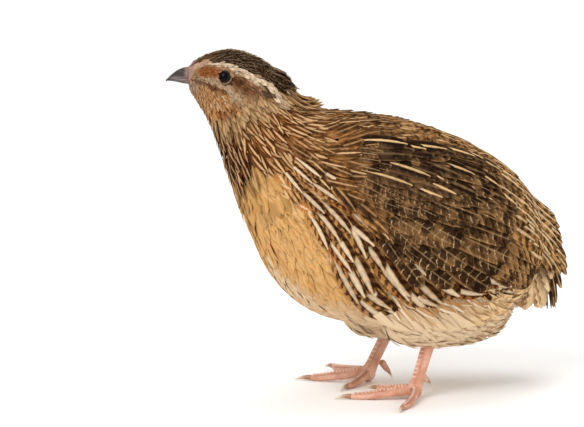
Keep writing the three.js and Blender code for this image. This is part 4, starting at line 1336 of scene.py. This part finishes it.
            bed = Bed(
                0.97, -0.8, keep, ((0, 2.4),), ((0, 11),), ((0, 2.0),), (-1.5, -0.2, 0.0), 0.2, 91 + seed,
                form=form)
            wisps = Bed(
                0.9, -0.9, keep, ((0, 4.0),), ((0, 9),), ((0, 1.1),), (-1.0, 0.4, 1.1), 0.4, 95 + seed,
                form=form)
            feathers = Feathers.joined(
                [bed.feathers(self._belly_paint), wisps.feathers(self._belly_paint)])
            rear = smoothstep(feathers.finish[:, 1], 0.024, 0.033)
            feathers.traits[:, 2] = rear
            feathers.ground[:] = feathers.ground * (1 - 0.12 * rear[:, None])
            groups.append(feathers)
        self._grow(
            "coat_thighs", groups, VaneShape.LANCE, FeatherFinish("thigh feathers", **DOWN), SILK,
            "belly_feathers", "thigh_left", "thigh_right")

    @staticmethod
    def _belly_paint(station: Array, angle: Array) -> tuple[Array, Array]:
        """The belly's own markings, wherever on the thigh a feather is."""
        ground, traits = MARKINGS.sample(0 * station + 3.5, 0 * angle + 170)
        return ground * 0.95, traits

    def tail(self) -> None:
        """Drooping tail feathers, and the down under them."""
        draws = np.random.default_rng(101)
        row = TailRow(12, (8, 57, 54), (11, 64.3, 50), (14.5, 64.6, 26.8), 3.2, 4.5, 0.55)
        fan = row.feathers(draws, srgb(136, 96, 56), (0.9, 0.8, 0.9))
        down = [under_coverts(*row, draws, srgb(232, 198, 152), (0.3, 0.0, 0.3)) for row in VENT_ROWS]
        finish = FeatherFinish(
            "tail feathers", bar=srgb(48, 30, 20), streak=srgb(206, 174, 132), streak_half=0.1, bars=6,
            line=srgb(190, 158, 116), line_share=0.6, fringe=srgb(178, 146, 104), scatter=0.4)
        self._grow("coat_tail", [fan], VaneShape.ROUND, finish, (0.2, 0.0002), "tail_feathers", "tail")
        self._grow(
            "coat_undertail", down, VaneShape.SOFT, FeatherFinish("undertail feathers", **DOWN),
            (0.2, 0.00016), "belly_feathers")


def hanging(start: Array, bend: Array, finish: Array, facing: Array, half: float,
            draws: np.random.Generator, ground: Colour, traits: tuple[float, float, float]) -> Feathers:
    """Feathers along given curves, in millimetres.

    Args:
        start: Roots.
        bend: Middle control points.
        finish: Tips.
        facing: Directions that the vanes face.
        half: Half width.
        draws: Seeded random source.
        ground: Ground colour.
        traits: Shares of streak, dark and bar.

    Returns:
        The feathers.
    """
    count = len(start)
    finish = finish + draws.normal(0, 0.35, (count, 3))
    facing = unit(facing)
    shade = draws.uniform(0.85, 1.15, (count, 1))
    return Feathers(
        placed(start), placed(bend), placed(finish), facing, facing,
        half * MM * draws.uniform(0.9, 1.1, count), np.array(ground) * shade,
        np.tile(np.array(traits), (count, 1)), draws.uniform(0, 1, count), SKIN_MAP.chart(start))


@dataclass(frozen=True)
class TailRow:
    """The tail's own feathers, fanned from side to side."""

    count: int
    root: tuple[float, float, float]
    bend: tuple[float, float, float]
    tip: tuple[float, float, float]
    half: float
    rise: float
    layer: float

    def feathers(self, draws: np.random.Generator, ground: Colour, traits: tuple) -> Feathers:
        """The fan, its middle feathers outermost."""
        share = np.linspace(-1, 1, self.count)
        depth = self.layer * np.abs(np.arange(self.count) - (self.count - 1) / 2)
        rows = []
        for place, sink, lift in ((self.root, 0.5, 0), (self.bend, 1, 0), (self.tip, 1, self.rise)):
            rows.append(
                np.stack([place[0] * share, place[1] - sink * depth, place[2] + lift * share**2], -1))
        facing = np.stack([1.5 * share, 1 + 0 * share, 0.25 + 0 * share], -1)
        return hanging(*rows, facing, self.half, draws, ground, traits)


def upper_coverts(station: float, spread: float, count: int, tip: tuple, drop: float,
                  draws: np.random.Generator, ground: Colour, traits: tuple) -> Feathers:
    """Feathers from the rump over the tail."""
    share = np.linspace(-1, 1, count)
    angle = spread * share
    start = FORM.point(station, angle, -1.0)
    bend = FORM.point(station * 0.45, angle, 3.4)
    finish = np.stack([tip[0] * share, tip[1] - 3 * share**2, tip[2] - drop * share**2], -1)
    facing = np.stack([2 * share, 0.8 + 0 * share, 0.6 + 0 * share], -1)
    return hanging(start, bend, finish, facing, 3.2, draws, ground, traits)


def under_coverts(station: float, first: float, count: int, tip: tuple, draws: np.random.Generator,
                  ground: Colour, traits: tuple) -> Feathers:
    """Soft feathers from the vent under the tail."""
    angle = np.linspace(first, 360 - first, count)
    share = np.sin(np.radians(angle))
    aside = np.abs(share)
    start = FORM.point(station, angle, -2.0)
    bend = FORM.point(station, angle, 4.0) + np.array([0, 2, 0])
    finish = np.stack([tip[0] * share, tip[1] - 4 * aside, tip[2] + 3 * aside], -1)
    facing = np.stack([1.6 * share, 0.4 + 0 * share, -0.5 + 0 * share], -1)
    return hanging(start, bend, finish, facing, 3.6, draws, ground, traits)


def loft_mesh(rings: Array) -> tuple[Array, list]:
    """Corners and faces of a closed form through rings, fanned shut at both ends."""
    count, sides = rings.shape[:2]
    corners = np.vstack([rings.reshape(-1, 3), rings[0].mean(0), rings[-1].mean(0)])
    faces = grid_faces(count, sides)
    first, last = len(corners) - 2, len(corners) - 1
    for j in range(sides):
        after = (j + 1) % sides
        faces.append((first, after, j))
        faces.append((last, (count - 1) * sides + j, (count - 1) * sides + after))
    return corners, faces


def tube(centres: Array, side: Array, up: Array, wide: Array, tall: Array,
         sides: int = 16) -> tuple[Array, list]:
    """A closed tube of oval sections along centres."""
    phi = np.linspace(0, 2 * np.pi, sides, endpoint=False)[None, :, None]
    rings = centres[:, None] + side * np.cos(phi) * wide[:, None, None] + up * np.sin(phi) * tall[
        :, None, None]
    return loft_mesh(rings)


def ball(centre: Array, radii: Sequence[float], axes: Array, rings: int = 24) -> tuple[Array, list]:
    """A closed ellipsoid with its poles on the last axis."""
    theta = np.linspace(0.02, np.pi - 0.02, rings)[:, None]
    phi = np.linspace(0, 2 * np.pi, 2 * rings, endpoint=False)[None]
    local = np.stack(
        [np.sin(theta) * np.cos(phi), np.sin(theta) * np.sin(phi), np.cos(theta) + 0 * phi], -1)
    return loft_mesh(centre + (local * np.array(radii)) @ axes)


def mesh_from(name: str, parts: Sequence[tuple[Array, list]]) -> bpy.types.Mesh:
    """One smooth mesh of several closed forms, in millimetres on the bird's midline, facing out."""
    corners, faces = [], []
    offset = 0
    for part_corners, part_faces in parts:
        corners.append(placed(part_corners))
        faces += [tuple(v + offset for v in face) for face in part_faces]
        offset += len(part_corners)
    mesh = bpy.data.meshes.new(name)
    mesh.from_pydata(np.concatenate(corners).tolist(), [], faces)
    work = bmesh.new()
    work.from_mesh(mesh)
    bmesh.ops.recalc_face_normals(work, faces=work.faces)
    work.to_mesh(mesh)
    work.free()
    mesh.shade_smooth()
    return mesh


def remeshed(mesh: bpy.types.Mesh, voxel: float, smoothing: int) -> bpy.types.Mesh:
    """The outer surface of a mesh's forms as one closed surface.

    Args:
        mesh: Forms that may cross each other.
        voxel: Size of the cells, in millimetres.
        smoothing: Steps of smoothing.

    Returns:
        The joined mesh.
    """
    holder = finished(mesh.name + "_forms", mesh)
    cells = holder.modifiers.new("Cells", "REMESH")
    cells.mode = "VOXEL"
    cells.voxel_size = voxel * MM
    relax = holder.modifiers.new("Relax", "SMOOTH")
    relax.iterations = smoothing
    result = evaluated(holder)
    bpy.data.objects.remove(holder)
    result.shade_smooth()
    return result


def points_of(mesh: bpy.types.Mesh) -> Array:
    """A mesh's corners in millimetres on the bird's midline."""
    corners = np.empty(len(mesh.vertices) * 3, np.float32)
    mesh.vertices.foreach_get("co", corners)
    return corners.reshape(-1, 3) / MM - FOOTPRINT


def dress(name: str, mesh: bpy.types.Mesh, finish: Callable[[Nodes], dict], slot: str, *nodes: str,
          colours: Array | None = None) -> None:
    """Paints a mesh and settles it as a piece.

    Args:
        name: The piece's name, and its material's.
        mesh: Its mesh.
        finish: Returns its surface's values.
        slot: Not used.
        nodes: The solids that it stands for.
        colours: Ground colours of its corners.
    """
    if colours is not None:
        store(mesh, "ground", "FLOAT_COLOR", opaque(colours))
    mesh.materials.append(surface(name, finish))
    settle(finished(name, mesh), slot, *nodes)


@dataclass
class Skin:
    """One skin for the flesh, inside the coat."""

    depth: float = 1.6
    sides: int = 96
    rows: int = 120
    voxel: float = 0.9

    def build(self) -> None:
        """Makes the skin, paints it with the markings and settles it."""
        along, around = np.meshgrid(
            np.linspace(0.0, 14.0, self.rows), np.linspace(-180, 180, self.sides, endpoint=False),
            indexing="ij")
        under_wing = WING.cover(along, around, 4.0, 3.0) * (WING.height(along, around) + 0.4)
        depth = under_wing - self.depth * (1 - 0.75 * smoothstep(along, 12.0, 13.8))
        forms = [loft_mesh(FORM.point(along, around, depth))]
        for thigh in THIGHS:
            share, turn = np.meshgrid(
                np.linspace(-0.999, 0.999, 40), np.arange(-180, 180, 8.0), indexing="ij")
            forms.append(loft_mesh(thigh.point(share, turn, -self.depth)))
        mesh = remeshed(mesh_from("skin_form", forms), self.voxel, 3)
        found = SKIN_MAP.nearest(points_of(mesh))
        station, angle = SKIN_MAP.along[found], SKIN_MAP.around[found]
        on_thigh = smoothstep(THIGH_RISE.height(station, angle), 0.3, 1.5)
        ground, _ = MARKINGS.sample(station, angle + (165 * np.sign(angle) - angle) * on_thigh)
        wing = WING.cover(station, angle, 2.0, 3.0)[:, None]
        # Under the folded wing the skin takes the wing's colours at 0.6 of their brightness, as painted
        # shade
        colours = ground * (1 - wing) + WING_MARKINGS.sample(station, np.abs(angle))[0] * wing * 0.6
        dress(
            "skin", mesh, self._finish, "body_feathers", "head", "neck", "torso", "thigh_left",
            "thigh_right", colours=colours)

    @staticmethod
    def _finish(nodes: Nodes) -> dict:
        """Down over skin: the ground colour, with painted shade in the down's hollows."""
        down = nodes.grain(900.0, 4.0)
        # The noise that bumps the down also darkens its low places, as painted shade in the hollows
        colour = nodes.mix(
            1.0, nodes.attribute("ground", "Color"),
            nodes.mix(down, srgb(176, 166, 156), srgb(240, 235, 230)), "MULTIPLY")
        return {"Base Color": colour, "Roughness": 0.9, "Height": down, "Depth": 0.0004}


@dataclass
class Eyes:
    """Both eyes and their lids."""

    lid_rows: tuple = (
        (0.83, 3.36), (0.88, 3.5), (0.95, 3.58), (1.05, 3.57), (1.2, 3.5), (1.2, 3.2), (0.93, 3.2))

    def build(self) -> None:
        """Makes each eye and the lid round it."""
        for side, mirror in SIDES:
            centre, look = EYE.centre(mirror)
            ahead = unit(np.cross(look, np.cross(np.array([0.0, -1.0, 0.05]), look)))
            axes = np.array([ahead, np.cross(look, ahead), look])
            mesh = mesh_from("eyeball_" + side, [ball(centre, (EYE.radius,) * 3, axes, 32)])
            gaze = np.arccos(np.clip(unit(points_of(mesh) - centre) @ look, -1, 1))
            store(mesh, "gaze", "FLOAT", gaze)
            dress("eyeball_" + side, mesh, self._eye_finish, "eye", "eye_" + side)
            lid = mesh_from("lid_" + side, [self._lid(centre, axes)])
            dress("lid_" + side, lid, self._lid_finish, "eye")

    def _lid(self, centre: Array, axes: Array) -> tuple[Array, list]:
        """A rim that hugs the eyeball, a little wider fore and aft, as a closed ring."""
        phi = np.linspace(0, 2 * np.pi, 48, endpoint=False)
        rows = np.array(self.lid_rows)
        polar = rows[:, 0][None] + 0.05 * np.cos(2 * phi)[:, None] * (rows[:, 0] < 1)[None]
        ridge = 1 + 0.006 * np.sin(11 * phi)[:, None]
        reach = rows[:, 1][None] * ridge
        local = np.stack(
            [np.sin(polar) * np.cos(phi)[:, None], np.sin(polar) * np.sin(phi)[:, None], np.cos(polar)],
            -1) * reach[..., None]
        corners = (centre + local @ axes).reshape(-1, 3)
        return corners, grid_faces(*polar.shape, closed=True)

    @staticmethod
    def _eye_finish(nodes: Nodes) -> dict:
        """A black pupil in a dark brown iris under a wet surface."""
        gaze = nodes.attribute("gaze", "Fac")
        grain = nodes.grain(2500.0, 3.0)
        iris = nodes.mix(grain, srgb(16, 10, 8), srgb(34, 20, 13))
        colour = nodes.mix(gaze.rise(0.5, 0.56), srgb(6, 5, 5), iris)
        colour = nodes.mix(gaze.rise(0.6, 0.75), colour, srgb(30, 18, 12))
        return {"Base Color": colour, "Roughness": 0.06, "Specular IOR Level": 0.07}

    @staticmethod
    def _lid_finish(nodes: Nodes) -> dict:
        """Bare grey-buff lid skin."""
        grain = nodes.grain(3000.0, 3.0)
        return {
            "Base Color": nodes.mix(grain, srgb(70, 50, 36), srgb(132, 102, 76)), "Roughness": 0.7,
            "Height": grain, "Depth": 0.0001}


@dataclass
class Bill:
    """The short stout bill, in the head's straight frame."""

    base_y: float = -84.5
    tip_y: float = -92.4
    culmen: tuple[float, float] = (129.5, 124.4)
    gape: tuple[float, float] = (125.7, 124.3)
    chin_z: float = 122.9
    half: float = 3.2
    lower_length: float = 6.8
    tip_radius: float = 0.28
    hook: float = 0.4
    culmen_bend: float = 1.9
    gap: float = 0.3
    nostril: tuple[float, float] = (-86.9, 127.2)

    def build(self) -> None:
        """Makes both mandibles."""
        for name, parts in (
                ("bill_upper", [self._upper(), *self._opercula()]), ("bill_lower", [self._lower()])):
            mesh = mesh_from(name, parts)
            dress(name, mesh, self._finish, "bill", name, colours=self._colours(points_of(mesh)))

    def _gape(self, share: Array) -> Array:
        """Height of the line where the mandibles meet."""
        return self.gape[0] + (self.gape[1] - self.gape[0]) * share**1.4

    def _rings(self, y: Array, flat_z: Array, crest: Array, half: Array) -> tuple[Array, list]:
        """A form with half-round sections, arched from its flat toward its crest."""
        phi = np.linspace(0, np.pi, 21)
        x = half[:, None] * np.cos(phi)[None]
        z = flat_z[:, None] + (crest - flat_z)[:, None] * np.sin(phi)[None] ** 0.9
        return loft_mesh(FORM.turned(x, y[:, None] + 0 * x, z, FORM.head_turn))

    def _upper(self) -> tuple[Array, list]:
        """The upper mandible, its tip hooked a little over the lower one."""
        share = np.linspace(0, 1, 26) ** 0.85
        y = self.base_y + 0.6 + (self.tip_y - self.base_y - 0.6) * share
        crest = self.culmen[0] + (self.culmen[1] - self.culmen[0]) * share**self.culmen_bend
        tomium = self._gape(share) + 0.05 - self.hook * smoothstep(share, 0.85, 1)
        half = self.half * (1 - share) ** 0.7 + self.tip_radius
        return self._rings(y, tomium, np.maximum(crest, tomium + 2 * self.tip_radius), half)

    def _lower(self) -> tuple[Array, list]:
        """The lower mandible."""
        share = np.linspace(0, 1, 24)
        y = self.base_y + 0.6 - (self.lower_length + 0.9) * share
        flat_z = self._gape(share * 0.92) - 0.05
        keel = self.chin_z + (flat_z - self.tip_radius - self.chin_z) * share**1.5
        half = (self.half - self.gap) * (1 - share) ** 0.65 + self.tip_radius
        return self._rings(y, flat_z, keel, half)

    def _opercula(self) -> list[tuple[Array, list]]:
        """The swollen flaps over the nostrils."""
        share = (self.base_y - self.nostril[0]) / (self.base_y - self.tip_y)
        half = self.half * (1 - share) ** 0.7
        turn = Matrix.Rotation(-FORM.head_turn, 3, "Z")
        forms = []
        for _, mirror in SIDES:
            place = FORM.turned(
                np.array(half * 0.8 * mirror), np.array(self.nostril[0] + 0.5),
                np.array(self.nostril[1] + 0.25), FORM.head_turn)
            axes = np.array(
                [turn @ Vector((1, 0, 0)), turn @ Vector((0, 1, -0.25)), turn @ Vector((0, 0.25, 1))])
            forms.append(ball(place, (0.62, 1.55, 0.62), axes, 16))
        return forms

    def _colours(self, points: Array) -> Array:
        """Dark horn, browner and pinker at the base, with painted shade in a slit at each nostril's
        opening.
        """
        straight = FORM.turned(points[:, 0], points[:, 1], points[:, 2], -FORM.head_turn)
        share = smoothstep(straight[:, 1], self.base_y - 1.2, self.base_y + 0.2)[:, None]
        above = straight[:, 2] - self.gape[1]
        side = np.exp(-((above - 0.9) / 0.8) ** 2)[:, None] * smoothstep(
            straight[:, 1], self.tip_y, -88.0)[:, None]
        colours = blend(blend(srgb(34, 28, 28), srgb(124, 112, 112), side), srgb(124, 92, 80), share)
        # Painted shade for the opening of each nostril, under its flap
        gap = np.hypot(
            (straight[:, 1] - self.nostril[0]) / 1.3, (straight[:, 2] - self.nostril[1] + 0.35) / 0.3)
        nostril_shade = (1 - smoothstep(gap, 0.7, 1.1))[:, None]
        return blend(colours, srgb(20, 14, 12), nostril_shade)

    @staticmethod
    def _finish(nodes: Nodes) -> dict:
        """Smooth horn with faint growth lines."""
        grain = nodes.grain(1500.0, 4.0)
        colour = nodes.mix(grain * 0.12, nodes.attribute("ground", "Color"), srgb(150, 134, 118))
        return {
            "Base Color": colour, "Roughness": 0.42, "Specular IOR Level": 0.3, "Height": grain,
            "Depth": 0.00005}


@dataclass(frozen=True)
class Toe:
    """One toe: how many pads it has, where it reaches and how far its tip is raised."""

    name: str
    pads: int
    reach: tuple[float, ...]
    raised: float = 0.0
    root: tuple[float, ...] | None = None

    @property
    def size(self) -> float:
        """Thickness against a front toe's."""
        return 1.0 if self.root is None else 0.72

    def radius(self, share: Array) -> Array:
        """Radius along the toe."""
        return (2.05 + (1.3 - 2.05) * share) * self.size

    def axis(self, joint: tuple[float, float], share: Array) -> Array:
        """The middle line from the foot's joint to the claw."""
        share = np.asarray(share, float)
        if self.root is not None:
            return np.array(self.root) + np.array(self.reach) * share[..., None]
        dx, dy = self.reach
        bend = 0.06 * np.sin(np.pi * share)
        z = self.radius(share) * math.cos(math.pi / 8) + 1.95 * np.maximum(
            0, 1 - share / 0.8) + self.raised * share
        return np.stack([joint[0] + dx * share - dy * bend, joint[1] + dy * share + dx * bend, z], -1)

    def frame(self) -> tuple[Array, Array, Array]:
        """Directions ahead, aside and up."""
        dx, dy, dz = (*self.reach, 0)[:3]
        ahead = unit(np.array([dx, dy, dz]))
        side = unit(np.array([-dy, dx, 0.0]))
        return ahead, side, np.cross(ahead, side)


@dataclass
class Leg:
    """A bare shank with its foot, scutes and claws, in millimetres."""

    side: str
    joint: tuple[float, float]
    top: tuple[float, float, float]
    toes: tuple[Toe, ...]
    joint_height: float = 3.5
    claw_length: float = 5.2
    claw_radius: float = 0.95

    def build(self, tree: CoatTree) -> None:
        """Makes the leg's skin, its scutes and its claws."""
        mesh = remeshed(mesh_from("leg_form_" + self.side, self._forms()), 0.28, 4)
        for corner in mesh.vertices:
            corner.co.z = max(corner.co.z, 0.0)
        toe_nodes = ["toe_%s_%s" % (toe.name, self.side) for toe in self.toes]
        dress("leg_" + self.side, mesh, self._skin_finish, "leg_skin", "shank_" + self.side, *toe_nodes)
        plates = surface("scutes_" + self.side, self._scute_finish)
        scutes = tree.grow("scutes_" + self.side, self._scutes(), VaneShape.SCUTE, plates, 0.5, 0.00022)
        settle(scutes, "leg_skin")
        claws = mesh_from("claws_" + self.side, [self._claw(toe) for toe in self.toes])
        claw_nodes = ["claw_%s_%s" % (toe.name, self.side) for toe in self.toes]
        dress(
            "claws_" + self.side, claws, self._claw_finish, "claw", *claw_nodes,
            colours=self._claw_colours(points_of(claws)))

    def _shank(self, share: Array) -> tuple[Array, Array]:
        """Middle line and radius of the shank, from the foot up."""
        foot = np.array([*self.joint, self.joint_height])
        centre = foot + (np.array(self.top) - foot) * share[:, None]
        radius = 2.3 + 0.5 * np.maximum(0, 1 - share / 0.2) + 0.45 * share**2
        return centre, radius

    def _forms(self) -> list[tuple[Array, list]]:
        """Shank, joint and toes as closed forms."""
        level, across = np.array([0.0, 1.0, 0.0]), np.array([1.0, 0.0, 0.0])
        centre, radius = self._shank(np.linspace(0, 1, 40))
        forms = [tube(centre, across, level, radius * 0.88, radius * 1.1, 20)]
        knuckle = np.array([*self.joint, self.joint_height])
        forms.append(ball(knuckle, (3.0, 3.0, 3.5), np.eye(3), 16))
        for toe in self.toes:
            share = np.linspace(0, 1, 60)
            _, side, up = toe.frame()
            pads = 1 - 0.13 * np.abs(np.cos(np.pi * share * toe.pads)) ** 8
            radius = toe.radius(share) * pads * np.sqrt(
                np.maximum(1 - np.maximum(0, (share - 0.86) / 0.15) ** 2, 0.05))
            forms.append(tube(toe.axis(self.joint, share), side, up, radius * 0.96, radius, 16))
        return forms

    def _scutes(self) -> Feathers:
        """Overlapping plates down the shank's front and along each toe's top."""
        draws = np.random.default_rng(131)
        starts, finishes, facings, halves = [], [], [], []
        share = np.linspace(0.8, 0.06, 13)
        centre, radius = self._shank(share)
        down = unit(self._shank(np.array([0.0]))[0] - self._shank(np.array([1.0]))[0])
        front = unit(np.cross(down, np.array([1.0, 0.0, 0.0])))
        front = front * -np.sign(front[:, 1:2])
        lift = radius[:, None] * 0.64
        starts.append(centre + front * lift)
        finishes.append(centre + front * (lift + 0.08) + down * 2.2)
        facings.append(np.tile(front, (len(share), 1)))
        halves.append(radius * 0.84)
        for toe in self.toes:
            count = toe.pads * 3 + 2
            share = np.linspace(0.12, 0.86, count)
            ahead, _, up = toe.frame()
            radius = toe.radius(share)
            place = toe.axis(self.joint, share) + up * radius[:, None] * 0.6
            step = np.linalg.norm(np.array(toe.reach)) * 0.74 / (count - 1)
            starts.append(place)
            finishes.append(place + ahead * step * 1.25 + up * 0.05)
            facings.append(np.tile(up, (count, 1)))
            halves.append(radius * 0.82)
        start, finish, facing = (np.concatenate(g) for g in (starts, finishes, facings))
        feathers = hanging(
            start, (start + finish) / 2, finish, facing, 1.0, draws, srgb(206, 160, 140), (0, 0, 0))
        feathers.finish = placed(finish)
        feathers.half = np.concatenate(halves) * MM
        return feathers

    def _claw(self, toe: Toe) -> tuple[Array, list]:
        """A tapering claw, bent down to the floor on a front toe."""
        ahead, side, up = toe.frame()
        base = toe.axis(self.joint, np.array(1.0))
        share = np.linspace(0, 1, 16)
        radius = self.claw_radius * toe.size * (1 - share) ** 0.7 + 0.12
        fall = 0 if toe.root else (base[2] - toe.raised - 0.24) * share**1.6
        rise = 0.35 * np.sin(0.9 * np.pi * share) - fall
        reach = -0.9 + (1.2 + self.claw_length * toe.size) * share
        return tube(
            base + ahead * reach[:, None] + up * rise[:, None], side, up, radius * 0.8, radius, 12)

    def _claw_colours(self, points: Array) -> Array:
        """Brown at the root, pale at the point."""
        gaps = []
        for toe in self.toes:
            base = toe.axis(self.joint, np.array(1.0))
            gaps.append(np.linalg.norm(points - base, axis=1) / (self.claw_length * toe.size))
        share = smoothstep(np.min(gaps, axis=0), 0.2, 0.9)[:, None]
        return blend(srgb(168, 124, 92), srgb(232, 214, 188), share)

    @staticmethod
    def _skin_finish(nodes: Nodes) -> dict:
        """Pinkish flesh under fine scales."""
        place = nodes.place()
        blotch = nodes.noise(place, 180.0, 3.0)
        colour = nodes.mix(blotch.rise(0.3, 0.7), srgb(206, 148, 121), srgb(233, 187, 164))
        cells = nodes.add(
            "ShaderNodeTexVoronoi", {"feature": "DISTANCE_TO_EDGE"}, {"Vector": place, "Scale": 1300.0})
        seam = 1 - cells.rise(0.0, 0.12)
        colour = nodes.mix(seam * 0.25, colour, srgb(150, 100, 84))
        return {
            "Base Color": colour, "Roughness": 0.6, "Specular IOR Level": 0.2, "Subsurface Weight": 0.15,
            "Subsurface Scale": 0.002, "Height": cells.rise(0.0, 0.2), "Depth": 0.00006}

    @staticmethod
    def _scute_finish(nodes: Nodes) -> dict:
        """Flesh-coloured plates with pale rims."""
        along, _, _ = nodes.split(nodes.attribute("vane"))
        grain = nodes.grain(400.0, 3.0)
        colour = nodes.mix(grain.rise(0.3, 0.7), srgb(196, 136, 108), srgb(222, 170, 144))
        colour = nodes.mix(along.rise(0.68, 0.95), colour, srgb(244, 218, 200))
        return {
            "Base Color": colour, "Roughness": 0.55, "Specular IOR Level": 0.2, "Height": grain,
            "Depth": 0.00004}

    @staticmethod
    def _claw_finish(nodes: Nodes) -> dict:
        """Smooth pale horn."""
        grain = nodes.grain(900.0)
        colour = nodes.mix(grain * 0.3, nodes.attribute("ground", "Color"), srgb(140, 100, 74))
        return {"Base Color": colour, "Roughness": 0.35}


LEGS = (
    Leg("left", (20.3, -1.4), (18, 8.6, 29),
        (Toe("middle", 4, (-10, -23)), Toe("outer", 4, (20.2, -14.9)), Toe("inner", 3, (-17, -8), 1.0),
            Toe("hallux", 1, (-1.6, 3, -2.4), root=(18.6, 2.6, 8.4)))),
    Leg("right", (-20.3, -2), (-17.6, 10.6, 29),
        (Toe("middle", 4, (-11.6, -19.7)), Toe("outer", 4, (-23.4, -4), 1.2),
            Toe("inner", 3, (12, -14.8)), Toe("hallux", 1, (-2.2, 3.8, -4.4), root=(-19.7, 3.6, 7.4)))),)


@dataclass
class Stage:
    """Floor, light and the camera at the photograph's view."""

    azimuth: float = math.radians(65)
    elevation: float = math.radians(10)
    scale: float = 0.385
    frame_width: int = 584
    frame_height: int = 427
    # The pixel where the bird's midline meets the floor
    anchor: tuple[float, float] = (395, 390)
    distance: float = 6.0

    def build(self) -> None:
        """Sets everything that isn't the bird."""
        self._floor()
        self._camera()
        self._lights()

    def _floor(self) -> None:
        """A wide plain pale floor."""
        half = 4.0
        mesh = bpy.data.meshes.new("floor")
        mesh.from_pydata(
            [(-half, -half, 0), (half, -half, 0), (half, half, 0), (-half, half, 0)], [], [(0, 1, 2, 3)])
        mesh.materials.append(
            surface("floor",
                lambda nodes: {"Base Color": nodes.mix(nodes.grain(3.0), srgb(246, 245, 243),
                        srgb(250, 249, 248)), "Roughness": 0.9}))
        finished("floor", mesh)

    def _camera(self) -> None:
        """A long lens from the bird's left front."""
        right = np.array([math.cos(self.azimuth), math.sin(self.azimuth), 0])
        back = np.array(
            [math.sin(self.azimuth) * math.cos(self.elevation), -math.cos(self.azimuth)
                * math.cos(self.elevation), math.sin(self.elevation)])
        up = np.cross(back, right)
        aside = (self.frame_width / 2 - self.anchor[0]) * self.scale
        above = (self.anchor[1] - self.frame_height / 2) * self.scale
        target = placed(right * aside + up * above)
        data = bpy.data.cameras.new("camera")
        data.sensor_width = 36
        data.lens = data.sensor_width * self.distance / (self.frame_width * self.scale * MM)
        data.clip_end = 50
        camera = bpy.data.objects.new("camera", data)
        axes = np.eye(4)
        axes[:3, 0], axes[:3, 1], axes[:3, 2], axes[
            :3, 3] = right, up, back, target + back * self.distance
        camera.matrix_world = Matrix(axes.tolist())
        bpy.context.scene.collection.objects.link(camera)
        bpy.context.scene.camera = camera

    def _lights(self) -> None:
        """Soft studio light: a broad key, a fill and pale surroundings."""
        world = bpy.data.worlds.new("studio")
        world.use_nodes = True
        world.node_tree.nodes["Background"].inputs["Color"].default_value = (1, 1, 1, 1)
        world.node_tree.nodes["Background"].inputs["Strength"].default_value = 0.75
        bpy.context.scene.world = world
        bpy.context.scene.view_settings.view_transform = "Standard"
        for name, place, size, power in (
                ("key", (0.7, -0.9, 1.1), 0.9, 13), ("fill", (1.1, 0.7, 0.5), 1.0, 3.5),
                ("top", (-0.3, 0.2, 1.4), 1.0, 7)):
            data = bpy.data.lights.new(name, "AREA")
            data.shape = "DISK"
            data.size = size
            data.energy = power
            lamp = bpy.data.objects.new(name, data)
            lamp.location = place
            lamp.rotation_euler = (
                Vector((0, 0, 0.07)) - Vector(place)).to_track_quat("-Z", "Y").to_euler()
            bpy.context.scene.collection.objects.link(lamp)


def main() -> None:
    """Builds the bird and its stage, piece by piece."""
    logging.basicConfig(level=logging.INFO, format="%(message)s")
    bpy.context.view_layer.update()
    Stage().build()
    Skin().build()
    Eyes().build()
    Bill().build()
    coat = Coat()
    coat.build()
    for leg in LEGS:
        leg.build(coat.tree)


if __name__ == "__main__":
    main()
